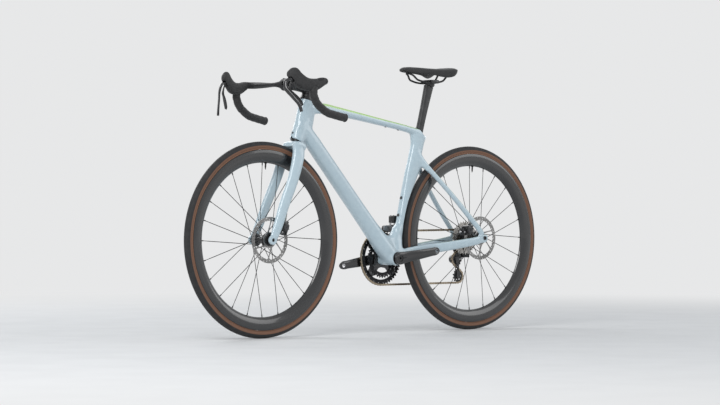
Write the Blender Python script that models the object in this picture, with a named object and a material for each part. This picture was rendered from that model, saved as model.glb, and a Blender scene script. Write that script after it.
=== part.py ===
"""A road bicycle with disc brakes, electronic shifting and deep carbon wheels, as separate solids.

Metres, +Z up, +X forward, +Y to the rider's left. The origin is on the ground, midway between the axles.
"""

import math

import bmesh
import bpy
from mathutils import Matrix, Vector

# Driving dimensions of the bicycle
WHEELBASE = 1.000
TYRE_RADIUS = 0.340
TYRE_WIDTH = 0.029
RIM_EDGE_RADIUS = 0.3165
RIM_DEPTH = 0.050
RIM_WIDTH = 0.029
HEAD_ANGLE = math.radians(73.0)
FORK_OFFSET = 0.045
SEAT_ANGLE = math.radians(74.0)
BOTTOM_BRACKET = Vector((-0.097, 0.0, 0.2695))
CRANK_LENGTH = 0.1700
CRANK_RISE = math.radians(8.5)
CHAIN_PITCH = 0.0127
OUTER_RING_TEETH = 48
INNER_RING_TEETH = 35
DRIVEN_SPROCKET_TEETH = 15
PULLEY_TEETH = 12
CASSETTE_TEETH = (10, 11, 12, 13, 14, 15, 17, 19, 21, 24, 27, 30)
ROTOR_RADIUS = 0.080
SPOKES_PER_SIDE = 12
GAP = 0.0003

FRONT_AXLE = Vector((WHEELBASE / 2, 0.0, TYRE_RADIUS))
REAR_AXLE = Vector((-WHEELBASE / 2, 0.0, TYRE_RADIUS))
AXLE_RADIUS = 0.006
FRONT_DROPOUT = 0.050
REAR_DROPOUT = 0.071

# The two leaning axes that the frame is built on
HEAD_UP = Vector((-math.cos(HEAD_ANGLE), 0.0, math.sin(HEAD_ANGLE)))
SEAT_UP = Vector((-math.cos(SEAT_ANGLE), 0.0, math.sin(SEAT_ANGLE)))
HEAD_FOOT = FRONT_AXLE + Vector((-FORK_OFFSET / math.sin(HEAD_ANGLE), 0.0, 0.0))
SEAT_POINT = Vector((-0.244, 0.0, 0.737))
HEAD_BOTTOM_Z = 0.684
HEAD_TOP_Z = 0.827

# The chain line
CHAIN_Y = -0.0475
CHAIN_HALF_WIDTH = 0.0022
CHAIN_HALF_HEIGHT = 0.0042
TOOTH_REACH = 0.0022
SPROCKET_PITCH = 0.0033
SPROCKET_THICKNESS = 0.0015
RING_THICKNESS = 0.0018
GUIDE_PULLEY = Vector((-0.479, CHAIN_Y, 0.2600))
TENSION_PULLEY = Vector((-0.485, CHAIN_Y, 0.1975))

# Colours of the finishes: red, green, blue, then roughness and metallic
FINISHES = {
    "paint": (0.50, 0.64, 0.70, 0.25, 0.0),
    "carbon": (0.020, 0.020, 0.022, 0.40, 0.0),
    "rubber": (0.015, 0.015, 0.015, 0.80, 0.0),
    "tape": (0.022, 0.021, 0.020, 0.70, 0.0),
    "anodised": (0.030, 0.030, 0.032, 0.35, 0.6),
    "steel": (0.50, 0.46, 0.42, 0.30, 1.0),
    "alloy": (0.55, 0.55, 0.56, 0.30, 1.0),
    "leather": (0.020, 0.020, 0.022, 0.60, 0.0),
}

X_AXIS = Vector((1.0, 0.0, 0.0))
Y_AXIS = Vector((0.0, 1.0, 0.0))
Z_AXIS = Vector((0.0, 0.0, 1.0))


# Helpers that make the solids


def head_point(z):
    """The point of the steering axis at height z."""
    return HEAD_FOOT + HEAD_UP * ((z - HEAD_FOOT.z) / HEAD_UP.z)


def seat_point(z):
    """The point of the seat tube's axis at height z."""
    return SEAT_POINT + SEAT_UP * ((z - SEAT_POINT.z) / SEAT_UP.z)


def finish(name):
    """The material of one piece."""
    red, green, blue, roughness, metallic = FINISHES[name]
    material = bpy.data.materials.new(name)
    material.use_nodes = True
    shader = material.node_tree.nodes["Principled BSDF"]
    shader.inputs["Base Color"].default_value = (red, green, blue, 1.0)
    shader.inputs["Roughness"].default_value = roughness
    shader.inputs["Metallic"].default_value = metallic
    return material


def add_piece(name, bm, finish_name, origin=(0.0, 0.0, 0.0)):
    """Turns world-space geometry into a named object whose origin lies at the given point."""
    bmesh.ops.remove_doubles(bm, verts=bm.verts, dist=1e-6)
    bmesh.ops.recalc_face_normals(bm, faces=bm.faces)
    mesh = bpy.data.meshes.new(name)
    bm.to_mesh(mesh)
    bm.free()
    mesh.transform(Matrix.Translation(-Vector(origin)))
    mesh.materials.append(finish(finish_name))
    mesh.shade_smooth()
    mesh.set_sharp_from_angle(angle=math.radians(35.0))
    piece = bpy.data.objects.new(name, mesh)
    piece.location = origin
    bpy.context.scene.collection.objects.link(piece)
    return piece


def combine(piece, tool_bm, operation):
    """Applies an exact Boolean of a closed tool to a piece, and removes the tool."""
    tool = add_piece(piece.name + "_tool", tool_bm, "steel")
    modifier = piece.modifiers.new(operation.lower(), "BOOLEAN")
    modifier.operation = operation
    modifier.object = tool
    modifier.solver = "EXACT"
    bpy.context.view_layer.objects.active = piece
    bpy.context.view_layer.update()
    bpy.ops.object.modifier_apply(modifier=modifier.name)
    leftover = tool.data
    bpy.data.objects.remove(tool)
    bpy.data.meshes.remove(leftover)
    bm = bmesh.new()
    bm.from_mesh(piece.data)
    bmesh.ops.remove_doubles(bm, verts=bm.verts, dist=1e-5)
    bm.to_mesh(piece.data)
    bm.free()
    piece.data.shade_smooth()
    piece.data.set_sharp_from_angle(angle=math.radians(35.0))
    return piece


def cut(piece, tool_bm):
    return combine(piece, tool_bm, "DIFFERENCE")


def join(piece, tool_bm):
    return combine(piece, tool_bm, "UNION")


def loft(rings, hollow=False, bm=None):
    """A closed skin over rings of points. A hollow one joins its last ring to its first."""
    bm = bm or bmesh.new()
    loops = [[bm.verts.new(point) for point in ring] for ring in rings]
    pairs = list(zip(loops, loops[1:]))
    if hollow:
        pairs.append((loops[-1], loops[0]))
    for low, high in pairs:
        count = len(low)
        for i in range(count):
            j = (i + 1) % count
            bm.faces.new((low[i], low[j], high[j], high[i]))
    if not hollow:
        bm.faces.new(loops[0])
        bm.faces.new(loops[-1])
    return bm


def oval(centre, normal, across, depth, width, sides, power=2.0):
    """A ring of points: depth along the normal, width along the across direction."""
    points = []
    for i in range(sides):
        angle = 2.0 * math.pi * (i + 0.5) / sides
        c = math.cos(angle)
        s = math.sin(angle)
        u = math.copysign(abs(c) ** (2.0 / power), c) * depth
        v = math.copysign(abs(s) ** (2.0 / power), s) * width
        points.append(centre + normal * u + across * v)
    return points


def frames_along(points, normal):
    """A normal and an across direction at each point of a path, carried along without twist."""
    frames = []
    normal = Vector(normal)
    for i, point in enumerate(points):
        before = points[max(i - 1, 0)]
        after = points[min(i + 1, len(points) - 1)]
        along = (after - before).normalized()
        normal = (normal - along * normal.dot(along)).normalized()
        frames.append((normal.copy(), along.cross(normal)))
    return frames


def swept_rings(stations, normal, sides, power=2.0, grow=0.0):
    """Rings along stations of (x, y, z, depth, width)."""
    points = [Vector(station[:3]) for station in stations]
    rings = []
    for station, point, frame in zip(stations, points, frames_along(points, normal)):
        depth = station[3] + grow
        width = station[4] + grow
        rings.append(oval(point, frame[0], frame[1], depth, width, sides, power))
    return rings


def swept(stations, normal, sides=12, power=2.0, grow=0.0):
    """A tube of changing oval section along stations of (x, y, z, depth, width)."""
    return loft(swept_rings(stations, normal, sides, power, grow))


def channel(stations, normal, sides=12, power=2.0, gap=GAP):
    """The swept tube again, larger by the gap all round and longer by it at both ends."""
    path = [list(station) for station in stations]
    for end, inward in ((0, 1), (-1, -2)):
        point = Vector(path[end][:3])
        outward = (point - Vector(path[inward][:3])).normalized()
        path[end][:3] = point + outward * gap
    return swept(path, normal, sides, power, grow=gap)


def turned(profile, centre, axis, steps=24, hollow=False, bm=None):
    """Circles of (radius, distance along the axis) joined into a turned solid."""
    axis = Vector(axis).normalized()
    side = axis.orthogonal().normalized()
    other = axis.cross(side)
    rings = []
    for radius, height in profile:
        middle = Vector(centre) + axis * height
        ring = []
        for i in range(steps):
            angle = 2.0 * math.pi * i / steps
            ring.append(middle + (side * math.cos(angle) + other * math.sin(angle)) * radius)
        rings.append(ring)
    return loft(rings, hollow, bm)


def cylinder(centre, axis, radius, start, end, steps=24):
    return turned([(radius, start), (radius, end)], centre, axis, steps)


def tube_ring(centre, axis, outer, inner, start, end, steps=24):
    """A ring with a bore."""
    profile = [(outer, start), (outer, end), (inner, end), (inner, start)]
    return turned(profile, centre, axis, steps, hollow=True)


def box(low, high):
    """A box between two corners."""
    bm = bmesh.new()
    size = Vector(high) - Vector(low)
    middle = (Vector(high) + Vector(low)) / 2.0
    place = Matrix.Translation(middle) @ Matrix.Diagonal((*size, 1.0))
    bmesh.ops.create_cube(bm, size=1.0, matrix=place)
    return bm


def turned_box(centre, along, normal, length, height, width):
    """A box about a centre, its length along one direction and its height along another."""
    along = Vector(along).normalized()
    normal = (Vector(normal) - along * Vector(normal).dot(along)).normalized()
    side = along.cross(normal)
    rings = []
    for end in (-0.5, 0.5):
        middle = Vector(centre) + along * length * end
        corners = ((-1, -1), (1, -1), (1, 1), (-1, 1))
        ring = []
        for a, b in corners:
            ring.append(middle + normal * (height / 2 * a) + side * (width / 2 * b))
        rings.append(ring)
    return loft(rings)


def plate(outline, y_low, y_high, bm=None):
    """A flat plate: an outline of (x, z) between two values of y."""
    rings = [[Vector((x, y, z)) for x, z in outline] for y in (y_low, y_high)]
    return loft(rings, bm=bm)


def merge(*parts):
    """Several closed skins that don't touch, in one mesh."""
    whole = bmesh.new()
    for part in parts:
        mesh = bpy.data.meshes.new("part")
        part.to_mesh(mesh)
        part.free()
        whole.from_mesh(mesh)
        bpy.data.meshes.remove(mesh)
    return whole


def pitch_radius(teeth):
    return CHAIN_PITCH / (2.0 * math.sin(math.pi / teeth))


def tooth_outline(teeth, centre, first_angle):
    """The toothed edge of a sprocket as (x, z) points. A gap between teeth lies at first_angle."""
    radius = pitch_radius(teeth)
    root = radius - 0.0030
    tip = radius + TOOTH_REACH
    step = 2.0 * math.pi / teeth
    shape = ((0.0, root), (0.5, tip))
    outline = []
    for tooth in range(teeth):
        for share, reach in shape:
            angle = first_angle + (tooth + share) * step
            outline.append((centre.x + reach * math.cos(angle), centre.z + reach * math.sin(angle)))
    return outline


def clear_scene():
    for thing in list(bpy.data.objects):
        bpy.data.objects.remove(thing)


# The frame: a moulded front triangle, and four stays bonded to its stubs

TOP_TUBE = (
    (0.306, 0.0, 0.7985, 0.0235, 0.0200),
    (0.262, 0.0, 0.8010, 0.0205, 0.0195),
    (0.221, 0.0, 0.8005, 0.0188, 0.0190),
    (0.170, 0.0, 0.7942, 0.0168, 0.0185),
    (0.080, 0.0, 0.7810, 0.0147, 0.0178),
    (-0.040, 0.0, 0.7615, 0.0130, 0.0170),
    (-0.160, 0.0, 0.7415, 0.0124, 0.0165),
    (-0.205, 0.0, 0.7325, 0.0135, 0.0165),
    (-0.236, 0.0, 0.7230, 0.0160, 0.0160),
)
DOWN_TUBE = (
    (0.338, 0.0, 0.7500, 0.0240, 0.0215),
    (0.300, 0.0, 0.7110, 0.0270, 0.0225),
    (0.240, 0.0, 0.6445, 0.0275, 0.0240),
    (0.143, 0.0, 0.5375, 0.0275, 0.0250),
    (0.040, 0.0, 0.4240, 0.0280, 0.0260),
    (-0.020, 0.0, 0.3580, 0.0290, 0.0290),
    (-0.060, 0.0, 0.3140, 0.0300, 0.0340),
    (-0.092, 0.0, 0.2790, 0.0270, 0.0380),
)
HEAD_TUBE = (
    (0.00, -0.0005, 0.0250, 0.0238),
    (0.25, -0.0085, 0.0315, 0.0225),
    (0.45, -0.0150, 0.0375, 0.0215),
    (0.65, -0.0150, 0.0375, 0.0212),
    (0.85, -0.0080, 0.0310, 0.0225),
    (1.04, -0.0010, 0.0245, 0.0236),
)
SEAT_TUBE = (
    (0.2780, 0.0, 0.0260, 0.0360),
    (0.3100, 0.0, 0.0240, 0.0300),
    (0.3450, 0.0, 0.0190, 0.0210),
    (0.3850, 0.0, 0.0160, 0.0170),
    (0.4300, 0.0, 0.0165, 0.0160),
    (0.5080, 0.0, 0.0205, 0.0158),
    (0.5700, -0.004, 0.0270, 0.0160),
    (0.6150, -0.010, 0.0310, 0.0165),
    (0.6500, -0.002, 0.0290, 0.0165),
    (0.6850, -0.0040, 0.0290, 0.0165),
    (0.7100, 0.0010, 0.0350, 0.0165),
    (0.7360, 0.0030, 0.0380, 0.0165),
)
SEAT_STAY = (
    (-0.222, 0.0110, 0.6420, 0.0180, 0.0085),
    (-0.2500, 0.0180, 0.6100, 0.0150, 0.0085),
    (-0.2700, 0.0270, 0.5890, 0.0100, 0.0085),
    (-0.3050, 0.0400, 0.5520, 0.0084, 0.0080),
    (-0.3700, 0.0570, 0.4838, 0.0086, 0.0075),
    (-0.4400, 0.0700, 0.4100, 0.0095, 0.0065),
    (-0.4780, 0.0750, 0.3700, 0.0100, 0.0050),
    (-0.4920, 0.0760, 0.3525, 0.0100, 0.0045),
)
CHAIN_STAY = (
    (-0.100, 0.0260, 0.2760, 0.0200, 0.0120),
    (-0.145, 0.0290, 0.2850, 0.0200, 0.0080),
    (-0.190, 0.0320, 0.2930, 0.0190, 0.0075),
    (-0.250, 0.0420, 0.3010, 0.0180, 0.0075),
    (-0.330, 0.0560, 0.3110, 0.0170, 0.0075),
    (-0.410, 0.0690, 0.3220, 0.0155, 0.0060),
    (-0.460, 0.0760, 0.3300, 0.0145, 0.0045),
    (-0.490, 0.0760, 0.3360, 0.0140, 0.0045),
)
STAY_STUB_STATIONS = 2
TYRE_CLEARANCE_RADIUS = 0.3535
DROPOUT_THICKNESS = 0.009
POST_DEPTH = 0.0142
POST_WIDTH = 0.0112
HEADSET_BORE = 0.0165
BEARING_SEAT_RADIUS = 0.0209
BEARING_HEIGHT = 0.0070
BB_BORE = 0.0205
BB_SHELL_RADIUS = 0.0250
BB_HALF_WIDTH = 0.0430
BOTTLE_BOSS_SPACING = 0.064
BOSS_RADIUS = 0.0060
BOSS_HEIGHT = 0.0012
BOSS_HOLE_RADIUS = 0.0026


def seat_stations():
    """Stations of the seat tube along its leaning axis."""
    stations = []
    for z, shift, depth, width in SEAT_TUBE:
        point = seat_point(z)
        stations.append((point.x + shift, 0.0, z, depth, width))
    return stations


def mirrored(stations, side):
    """Stations of the left side, or their mirror image for the right side."""
    return [(x, y * side, z, depth, width) for x, y, z, depth, width in stations]


def boss(centre, outward, height=BOSS_HEIGHT):
    """A round threaded insert's rim, standing a little proud of a tube."""
    return cylinder(centre, outward, BOSS_RADIUS, -0.006, height, 8)


def boss_places():
    """Centres and outward directions of the four bottle cage inserts."""
    places = []
    forward = SEAT_UP.cross(Y_AXIS) * -1.0
    for z in (0.421, 0.421 + BOTTLE_BOSS_SPACING * SEAT_UP.z):
        depth = 0.0163 + (z - 0.421) * 0.055
        places.append((seat_point(z) + forward * depth, forward))
    along = (Vector(DOWN_TUBE[4][:3]) - Vector(DOWN_TUBE[3][:3])).normalized()
    upward = along.cross(Y_AXIS)
    upward = upward if upward.z > 0 else -upward
    middle = Vector(DOWN_TUBE[3][:3]) + along * 0.075
    for shift in (-0.5, 0.5):
        places.append((middle + along * BOTTLE_BOSS_SPACING * shift + upward * 0.0278, upward))
    return places


def make_main_frame():
    head_low = head_point(HEAD_BOTTOM_Z)
    head_high = head_point(HEAD_TOP_Z)
    forward = HEAD_UP.cross(Y_AXIS) * -1.0
    rings = []
    for share, shift, depth, width in HEAD_TUBE:
        centre = head_low.lerp(head_high, share) + forward * shift
        rings.append(oval(centre, forward, Y_AXIS, depth, width, 12, 2.2))
    frame = add_piece("main_frame", loft(rings), "paint")
    join(frame, swept(DOWN_TUBE, X_AXIS, 10, 2.5))
    join(frame, swept(TOP_TUBE, Z_AXIS, 10, 2.5))
    join(frame, swept(seat_stations(), X_AXIS, 10, 2.5))
    join(frame, cylinder(BOTTOM_BRACKET, Y_AXIS, BB_SHELL_RADIUS, -BB_HALF_WIDTH, BB_HALF_WIDTH, 20))
    for stations in (SEAT_STAY, CHAIN_STAY):
        for side in (1.0, -1.0):
            stub = mirrored(stations[:STAY_STUB_STATIONS + 1], side)
            join(frame, swept(stub, Z_AXIS, 10, 2.4))
    for centre, outward in boss_places():
        join(frame, boss(centre, outward))
    shape_main_frame(frame)
    return frame


def shape_main_frame(frame):
    """The cuts: tyre clearance, the slanted seat collar, the bores and the threaded inserts."""
    cut(frame, cylinder(REAR_AXLE, Y_AXIS, TYRE_CLEARANCE_RADIUS, -0.0200, 0.0200, 32))
    slope_front = Vector((-0.2270, 0.0, 0.7425))
    slope_rear = Vector((-0.2640, 0.0, 0.7030))
    along = (slope_rear - slope_front).normalized()
    outward = Vector((along.z, 0.0, -along.x))
    outward = outward if outward.z > 0 else -outward
    middle = (slope_front + slope_rear) / 2.0
    above = middle + outward * 0.0400 - along * 0.0060
    cut(frame, turned_box(above, along, outward, 0.0620, 0.0800, 0.0800))
    cut(frame, cylinder(head_point(HEAD_TOP_Z), HEAD_UP, 0.0300, 0.0, 0.0300, 12))
    for z, way in ((HEAD_BOTTOM_Z, 1.0), (HEAD_TOP_Z, -1.0)):
        seat_end = BEARING_HEIGHT + 2.0 * GAP
        reach = BEARING_SEAT_RADIUS + GAP
        seat = cylinder(head_point(z), HEAD_UP, reach, -0.01 * way, seat_end * way, 12)
        cut(frame, seat)
    cut(frame, cylinder(head_point(0.75), HEAD_UP, HEADSET_BORE, -0.09, 0.09, 12))
    cut(frame, cylinder(BOTTOM_BRACKET, Y_AXIS, BB_BORE, -0.06, 0.06, 16))
    bore = []
    for z in (0.545, 0.780):
        point = seat_point(z)
        bore.append((point.x, 0.0, z, POST_DEPTH + GAP, POST_WIDTH + GAP))
    cut(frame, swept(bore, X_AXIS, 12, 2.8))
    for centre, outward in boss_places():
        cut(frame, cylinder(centre, outward, BOSS_HOLE_RADIUS, -0.0050, 0.0100, 6))


def make_stays():
    for side, word in ((1.0, "left"), (-1.0, "right")):
        for stations, stem in ((SEAT_STAY, "seatstay_"), (CHAIN_STAY, "chainstay_")):
            path = mirrored(stations[STAY_STUB_STATIONS:], side)
            piece = add_piece(stem + word, swept(path, Z_AXIS, 10, 2.4), "paint")
            stub = mirrored(stations[:STAY_STUB_STATIONS + 1], side)
            cut(piece, channel(stub, Z_AXIS, 10, 2.4))
            if stem == "chainstay_":
                finish_dropout(piece, side)
            else:
                trim_to_dropout(piece, side)


def dropout_span(side):
    """The two y values that a rear dropout lies between."""
    inner = REAR_DROPOUT + GAP
    return sorted((side * inner, side * (inner + DROPOUT_THICKNESS)))


def dropout_outline(grow=0.0):
    """A rear dropout's outline round the axle, with a tongue up towards the seatstay."""
    outline = []
    for step in range(9):
        angle = math.radians(130.0 + step * 27.5)
        radius = 0.0165 + grow
        spot = REAR_AXLE + Vector((math.cos(angle), 0.0, math.sin(angle))) * radius
        outline.append((spot.x, spot.z))
    outline.append((REAR_AXLE.x + 0.030 + grow, REAR_AXLE.z - 0.006 - grow))
    outline.append((REAR_AXLE.x + 0.026 + grow, REAR_AXLE.z + 0.012 + grow))
    return outline


def finish_dropout(piece, side):
    """The chainstay carries the dropout, which the axle passes through."""
    low, high = dropout_span(side)
    join(piece, plate(dropout_outline(), low, high))
    cut(piece, cylinder(REAR_AXLE, Y_AXIS, AXLE_RADIUS + GAP, -0.09, 0.09, 20))
    inner = sorted((0.0, side * (REAR_DROPOUT + GAP)))
    cut(piece, plate(dropout_outline(0.010), inner[0], inner[1]))


def trim_to_dropout(piece, side):
    """The seatstay stops a gap short of the dropout and the chainstay's end."""
    low, high = dropout_span(side)
    outline = dropout_outline(GAP)
    cut(piece, plate(outline, low - 0.004, high + 0.004))
    path = mirrored(CHAIN_STAY[STAY_STUB_STATIONS:], side)
    cut(piece, channel(path, Z_AXIS, 10, 2.4))


def make_derailleur_hanger():
    """A small alloy hanger between the right dropout and the rear derailleur."""
    low = -(REAR_DROPOUT + GAP + DROPOUT_THICKNESS) - GAP - 0.0045
    high = -(REAR_DROPOUT + GAP + DROPOUT_THICKNESS) - GAP
    outline = (
        (REAR_AXLE.x + 0.013, REAR_AXLE.z + 0.008),
        (REAR_AXLE.x - 0.012, REAR_AXLE.z + 0.010),
        (REAR_AXLE.x - 0.017, REAR_AXLE.z - 0.004),
        (REAR_AXLE.x - 0.016, REAR_AXLE.z - 0.032),
        (REAR_AXLE.x - 0.009, REAR_AXLE.z - 0.040),
        (REAR_AXLE.x + 0.002, REAR_AXLE.z - 0.038),
        (REAR_AXLE.x + 0.006, REAR_AXLE.z - 0.022),
        (REAR_AXLE.x + 0.013, REAR_AXLE.z - 0.006),
    )
    hanger = add_piece("derailleur_hanger", plate(outline, low, high), "anodised")
    cut(hanger, cylinder(REAR_AXLE, Y_AXIS, AXLE_RADIUS + GAP, -0.10, 0.0, 16))


def make_rear_axle():
    """The thru-axle: a long pin with a flanged head on the left."""
    left = REAR_DROPOUT + GAP + DROPOUT_THICKNESS + GAP
    right = -left - 0.0045 - 2.0 * GAP
    profile = (
        (AXLE_RADIUS, right - 0.0010),
        (AXLE_RADIUS, left),
        (0.0085, left),
        (0.0085, left + 0.0030),
    )
    axle = add_piece("rear_thru_axle", turned(profile, REAR_AXLE, Y_AXIS, 12), "anodised", REAR_AXLE)
    cut(axle, cylinder(REAR_AXLE, Y_AXIS, 0.0030, left - 0.004, left + 0.010, 6))


def make_frame_fittings():
    """Bottom bracket cups and headset bearings."""
    for side, word in ((1.0, "left"), (-1.0, "right")):
        profile = (
            (BB_BORE - 2.5 * GAP, side * (BB_HALF_WIDTH - 0.011)),
            (BB_BORE - 2.5 * GAP, side * (BB_HALF_WIDTH + GAP)),
            (BB_SHELL_RADIUS - 0.0015, side * (BB_HALF_WIDTH + GAP)),
            (BB_SHELL_RADIUS - 0.0015, side * (BB_HALF_WIDTH + 0.0018)),
            (0.0154, side * (BB_HALF_WIDTH + 0.0018)),
            (0.0154, side * (BB_HALF_WIDTH - 0.011)),
        )
        cup = turned(profile, BOTTOM_BRACKET, Y_AXIS, 12, hollow=True)
        add_piece("bottom_bracket_" + word, cup, "anodised", BOTTOM_BRACKET)
    for z, way, word in ((HEAD_BOTTOM_Z, 1.0, "lower"), (HEAD_TOP_Z, -1.0, "upper")):
        ring = tube_ring(head_point(z), HEAD_UP, BEARING_SEAT_RADIUS, 0.0152, way * GAP,
                         way * (GAP + BEARING_HEIGHT), 12)
        add_piece("headset_bearing_" + word, ring, "steel", head_point(z))


# The steering: fork, stem, bar and what they carry

FORK_LEG = (
    (0.3600, 0.0240, 0.6700, 0.0225, 0.0125),
    (0.3660, 0.0350, 0.6480, 0.0230, 0.0125),
    (0.3770, 0.0415, 0.6130, 0.0225, 0.0122),
    (0.3960, 0.0450, 0.5600, 0.0207, 0.0116),
    (0.4440, 0.0490, 0.4590, 0.0192, 0.0110),
    (0.4770, 0.0525, 0.3820, 0.0170, 0.0095),
    (0.4950, 0.0550, 0.3470, 0.0145, 0.0062),
)
STEERER_RADIUS = 0.0143
STEERER_BORE = 0.0115
STEERER_TOP_Z = 0.8835
CROWN_TOP_Z = 0.6830
FRONT_CLEARANCE_RADIUS = 0.3480
BAR_CENTRE = Vector((0.3850, 0.0, 0.8810))
BAR_CLAMP_RADIUS = 0.0159
BAR_RADIUS = 0.0117
STEM_LOW_Z = 0.8470
STEM_HIGH_Z = 0.8850
STEM_RADIUS = 0.0190
TAPE_THICKNESS = 0.0024
HANDLEBAR = (
    (0.3850, 0.000, 0.8810, BAR_CLAMP_RADIUS, BAR_CLAMP_RADIUS),
    (0.3850, 0.034, 0.8810, BAR_CLAMP_RADIUS, BAR_CLAMP_RADIUS),
    (0.3845, 0.060, 0.8818, 0.0200, 0.0105),
    (0.3840, 0.150, 0.8830, 0.0190, 0.0105),
    (0.3850, 0.184, 0.8835, 0.0130, 0.0117),
    (0.3920, 0.2030, 0.8840, BAR_RADIUS, BAR_RADIUS),
    (0.4100, 0.2095, 0.8845, BAR_RADIUS, BAR_RADIUS),
    (0.4320, 0.2090, 0.8790, BAR_RADIUS, BAR_RADIUS),
    (0.4440, 0.2085, 0.8650, BAR_RADIUS, BAR_RADIUS),
    (0.4475, 0.2080, 0.8450, BAR_RADIUS, BAR_RADIUS),
    (0.4420, 0.2080, 0.8240, BAR_RADIUS, BAR_RADIUS),
    (0.4295, 0.2085, 0.8050, BAR_RADIUS, BAR_RADIUS),
    (0.4110, 0.2095, 0.7905, BAR_RADIUS, BAR_RADIUS),
    (0.3900, 0.2110, 0.7780, BAR_RADIUS, BAR_RADIUS),
    (0.3550, 0.2130, 0.7690, BAR_RADIUS, BAR_RADIUS),
    (0.3080, 0.2155, 0.7600, BAR_RADIUS, BAR_RADIUS),
)
TAPE_FIRST_STATION = 9
HOOD = (
    (0.4060, 0.2090, 0.8815, 0.0145, 0.0150),
    (0.4330, 0.2060, 0.8720, 0.0200, 0.0165),
    (0.4700, 0.1980, 0.8725, 0.0225, 0.0170),
    (0.4920, 0.1910, 0.8830, 0.0285, 0.0165),
    (0.5070, 0.1855, 0.8955, 0.0315, 0.0158),
    (0.5260, 0.1795, 0.9000, 0.0240, 0.0140),
    (0.5380, 0.1760, 0.8990, 0.0130, 0.0105),
)
LEVER_PIVOT = Vector((0.5250, 0.1800, 0.8880))
LEVER = (
    (0.5290, 0.1787, 0.8890, 0.0055, 0.0062),
    (0.5430, 0.1742, 0.8790, 0.0048, 0.0068),
    (0.5470, 0.1780, 0.8600, 0.0040, 0.0078),
    (0.5340, 0.1980, 0.8300, 0.0038, 0.0080),
    (0.5200, 0.2190, 0.8000, 0.0040, 0.0075),
    (0.5160, 0.2260, 0.7760, 0.0045, 0.0060),
)
PADDLE = (
    (0.5320, 0.1790, 0.8520, 0.0018, 0.0060),
    (0.5240, 0.1850, 0.8400, 0.0018, 0.0080),
    (0.5120, 0.1970, 0.8230, 0.0018, 0.0080),
    (0.5060, 0.2040, 0.8130, 0.0018, 0.0060),
)
HOOD_WALL = 0.0035


def make_fork():
    rings = []
    forward = HEAD_UP.cross(Y_AXIS) * -1.0
    for y, depth, height in ((-0.034, 0.024, 0.0150), (-0.018, 0.026, 0.0160), (0.018, 0.026, 0.0160),
                             (0.034, 0.024, 0.0150)):
        centre = head_point(0.6655) + Vector((0.0, y, 0.0))
        rings.append(oval(centre, forward, HEAD_UP, depth, height, 12, 2.6))
    fork = add_piece("fork", loft(rings), "paint", head_point(CROWN_TOP_Z))
    for side in (1.0, -1.0):
        join(fork, swept(mirrored(FORK_LEG, side), X_AXIS, 10, 2.4))
        low, high = sorted((side * (FRONT_DROPOUT + GAP), side * (FRONT_DROPOUT + GAP + 0.0095)))
        join(fork, cylinder(FRONT_AXLE, Y_AXIS, 0.0160, low, high, 16))
        inner = sorted((side * 0.030, side * (FRONT_DROPOUT + GAP)))
        cut(fork, cylinder(FRONT_AXLE, Y_AXIS, 0.026, inner[0], inner[1], 16))
    above = head_point(CROWN_TOP_Z)
    cut(fork, cylinder(above, HEAD_UP, 0.080, 0.0, 0.040, 12))
    cut(fork, cylinder(FRONT_AXLE, Y_AXIS, FRONT_CLEARANCE_RADIUS, -0.0225, 0.0225, 32))
    top = (STEERER_TOP_Z - CROWN_TOP_Z) / HEAD_UP.z
    join(fork, cylinder(above, HEAD_UP, STEERER_RADIUS, -0.010, top, 16))
    cut(fork, cylinder(above, HEAD_UP, STEERER_BORE, -0.060, top + 0.01, 12))
    cut(fork, cylinder(FRONT_AXLE, Y_AXIS, AXLE_RADIUS + 2.0 * GAP, -0.08, 0.08, 12))


def make_front_axle():
    left = FRONT_DROPOUT + GAP + 0.0095 - 0.0015
    profile = (
        (AXLE_RADIUS, -left + 0.0010),
        (AXLE_RADIUS, left),
    )
    axle = add_piece("front_thru_axle", turned(profile, FRONT_AXLE, Y_AXIS, 12), "anodised", FRONT_AXLE)
    cut(axle, cylinder(FRONT_AXLE, Y_AXIS, 0.0030, left - 0.006, left + 0.010, 6))


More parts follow.
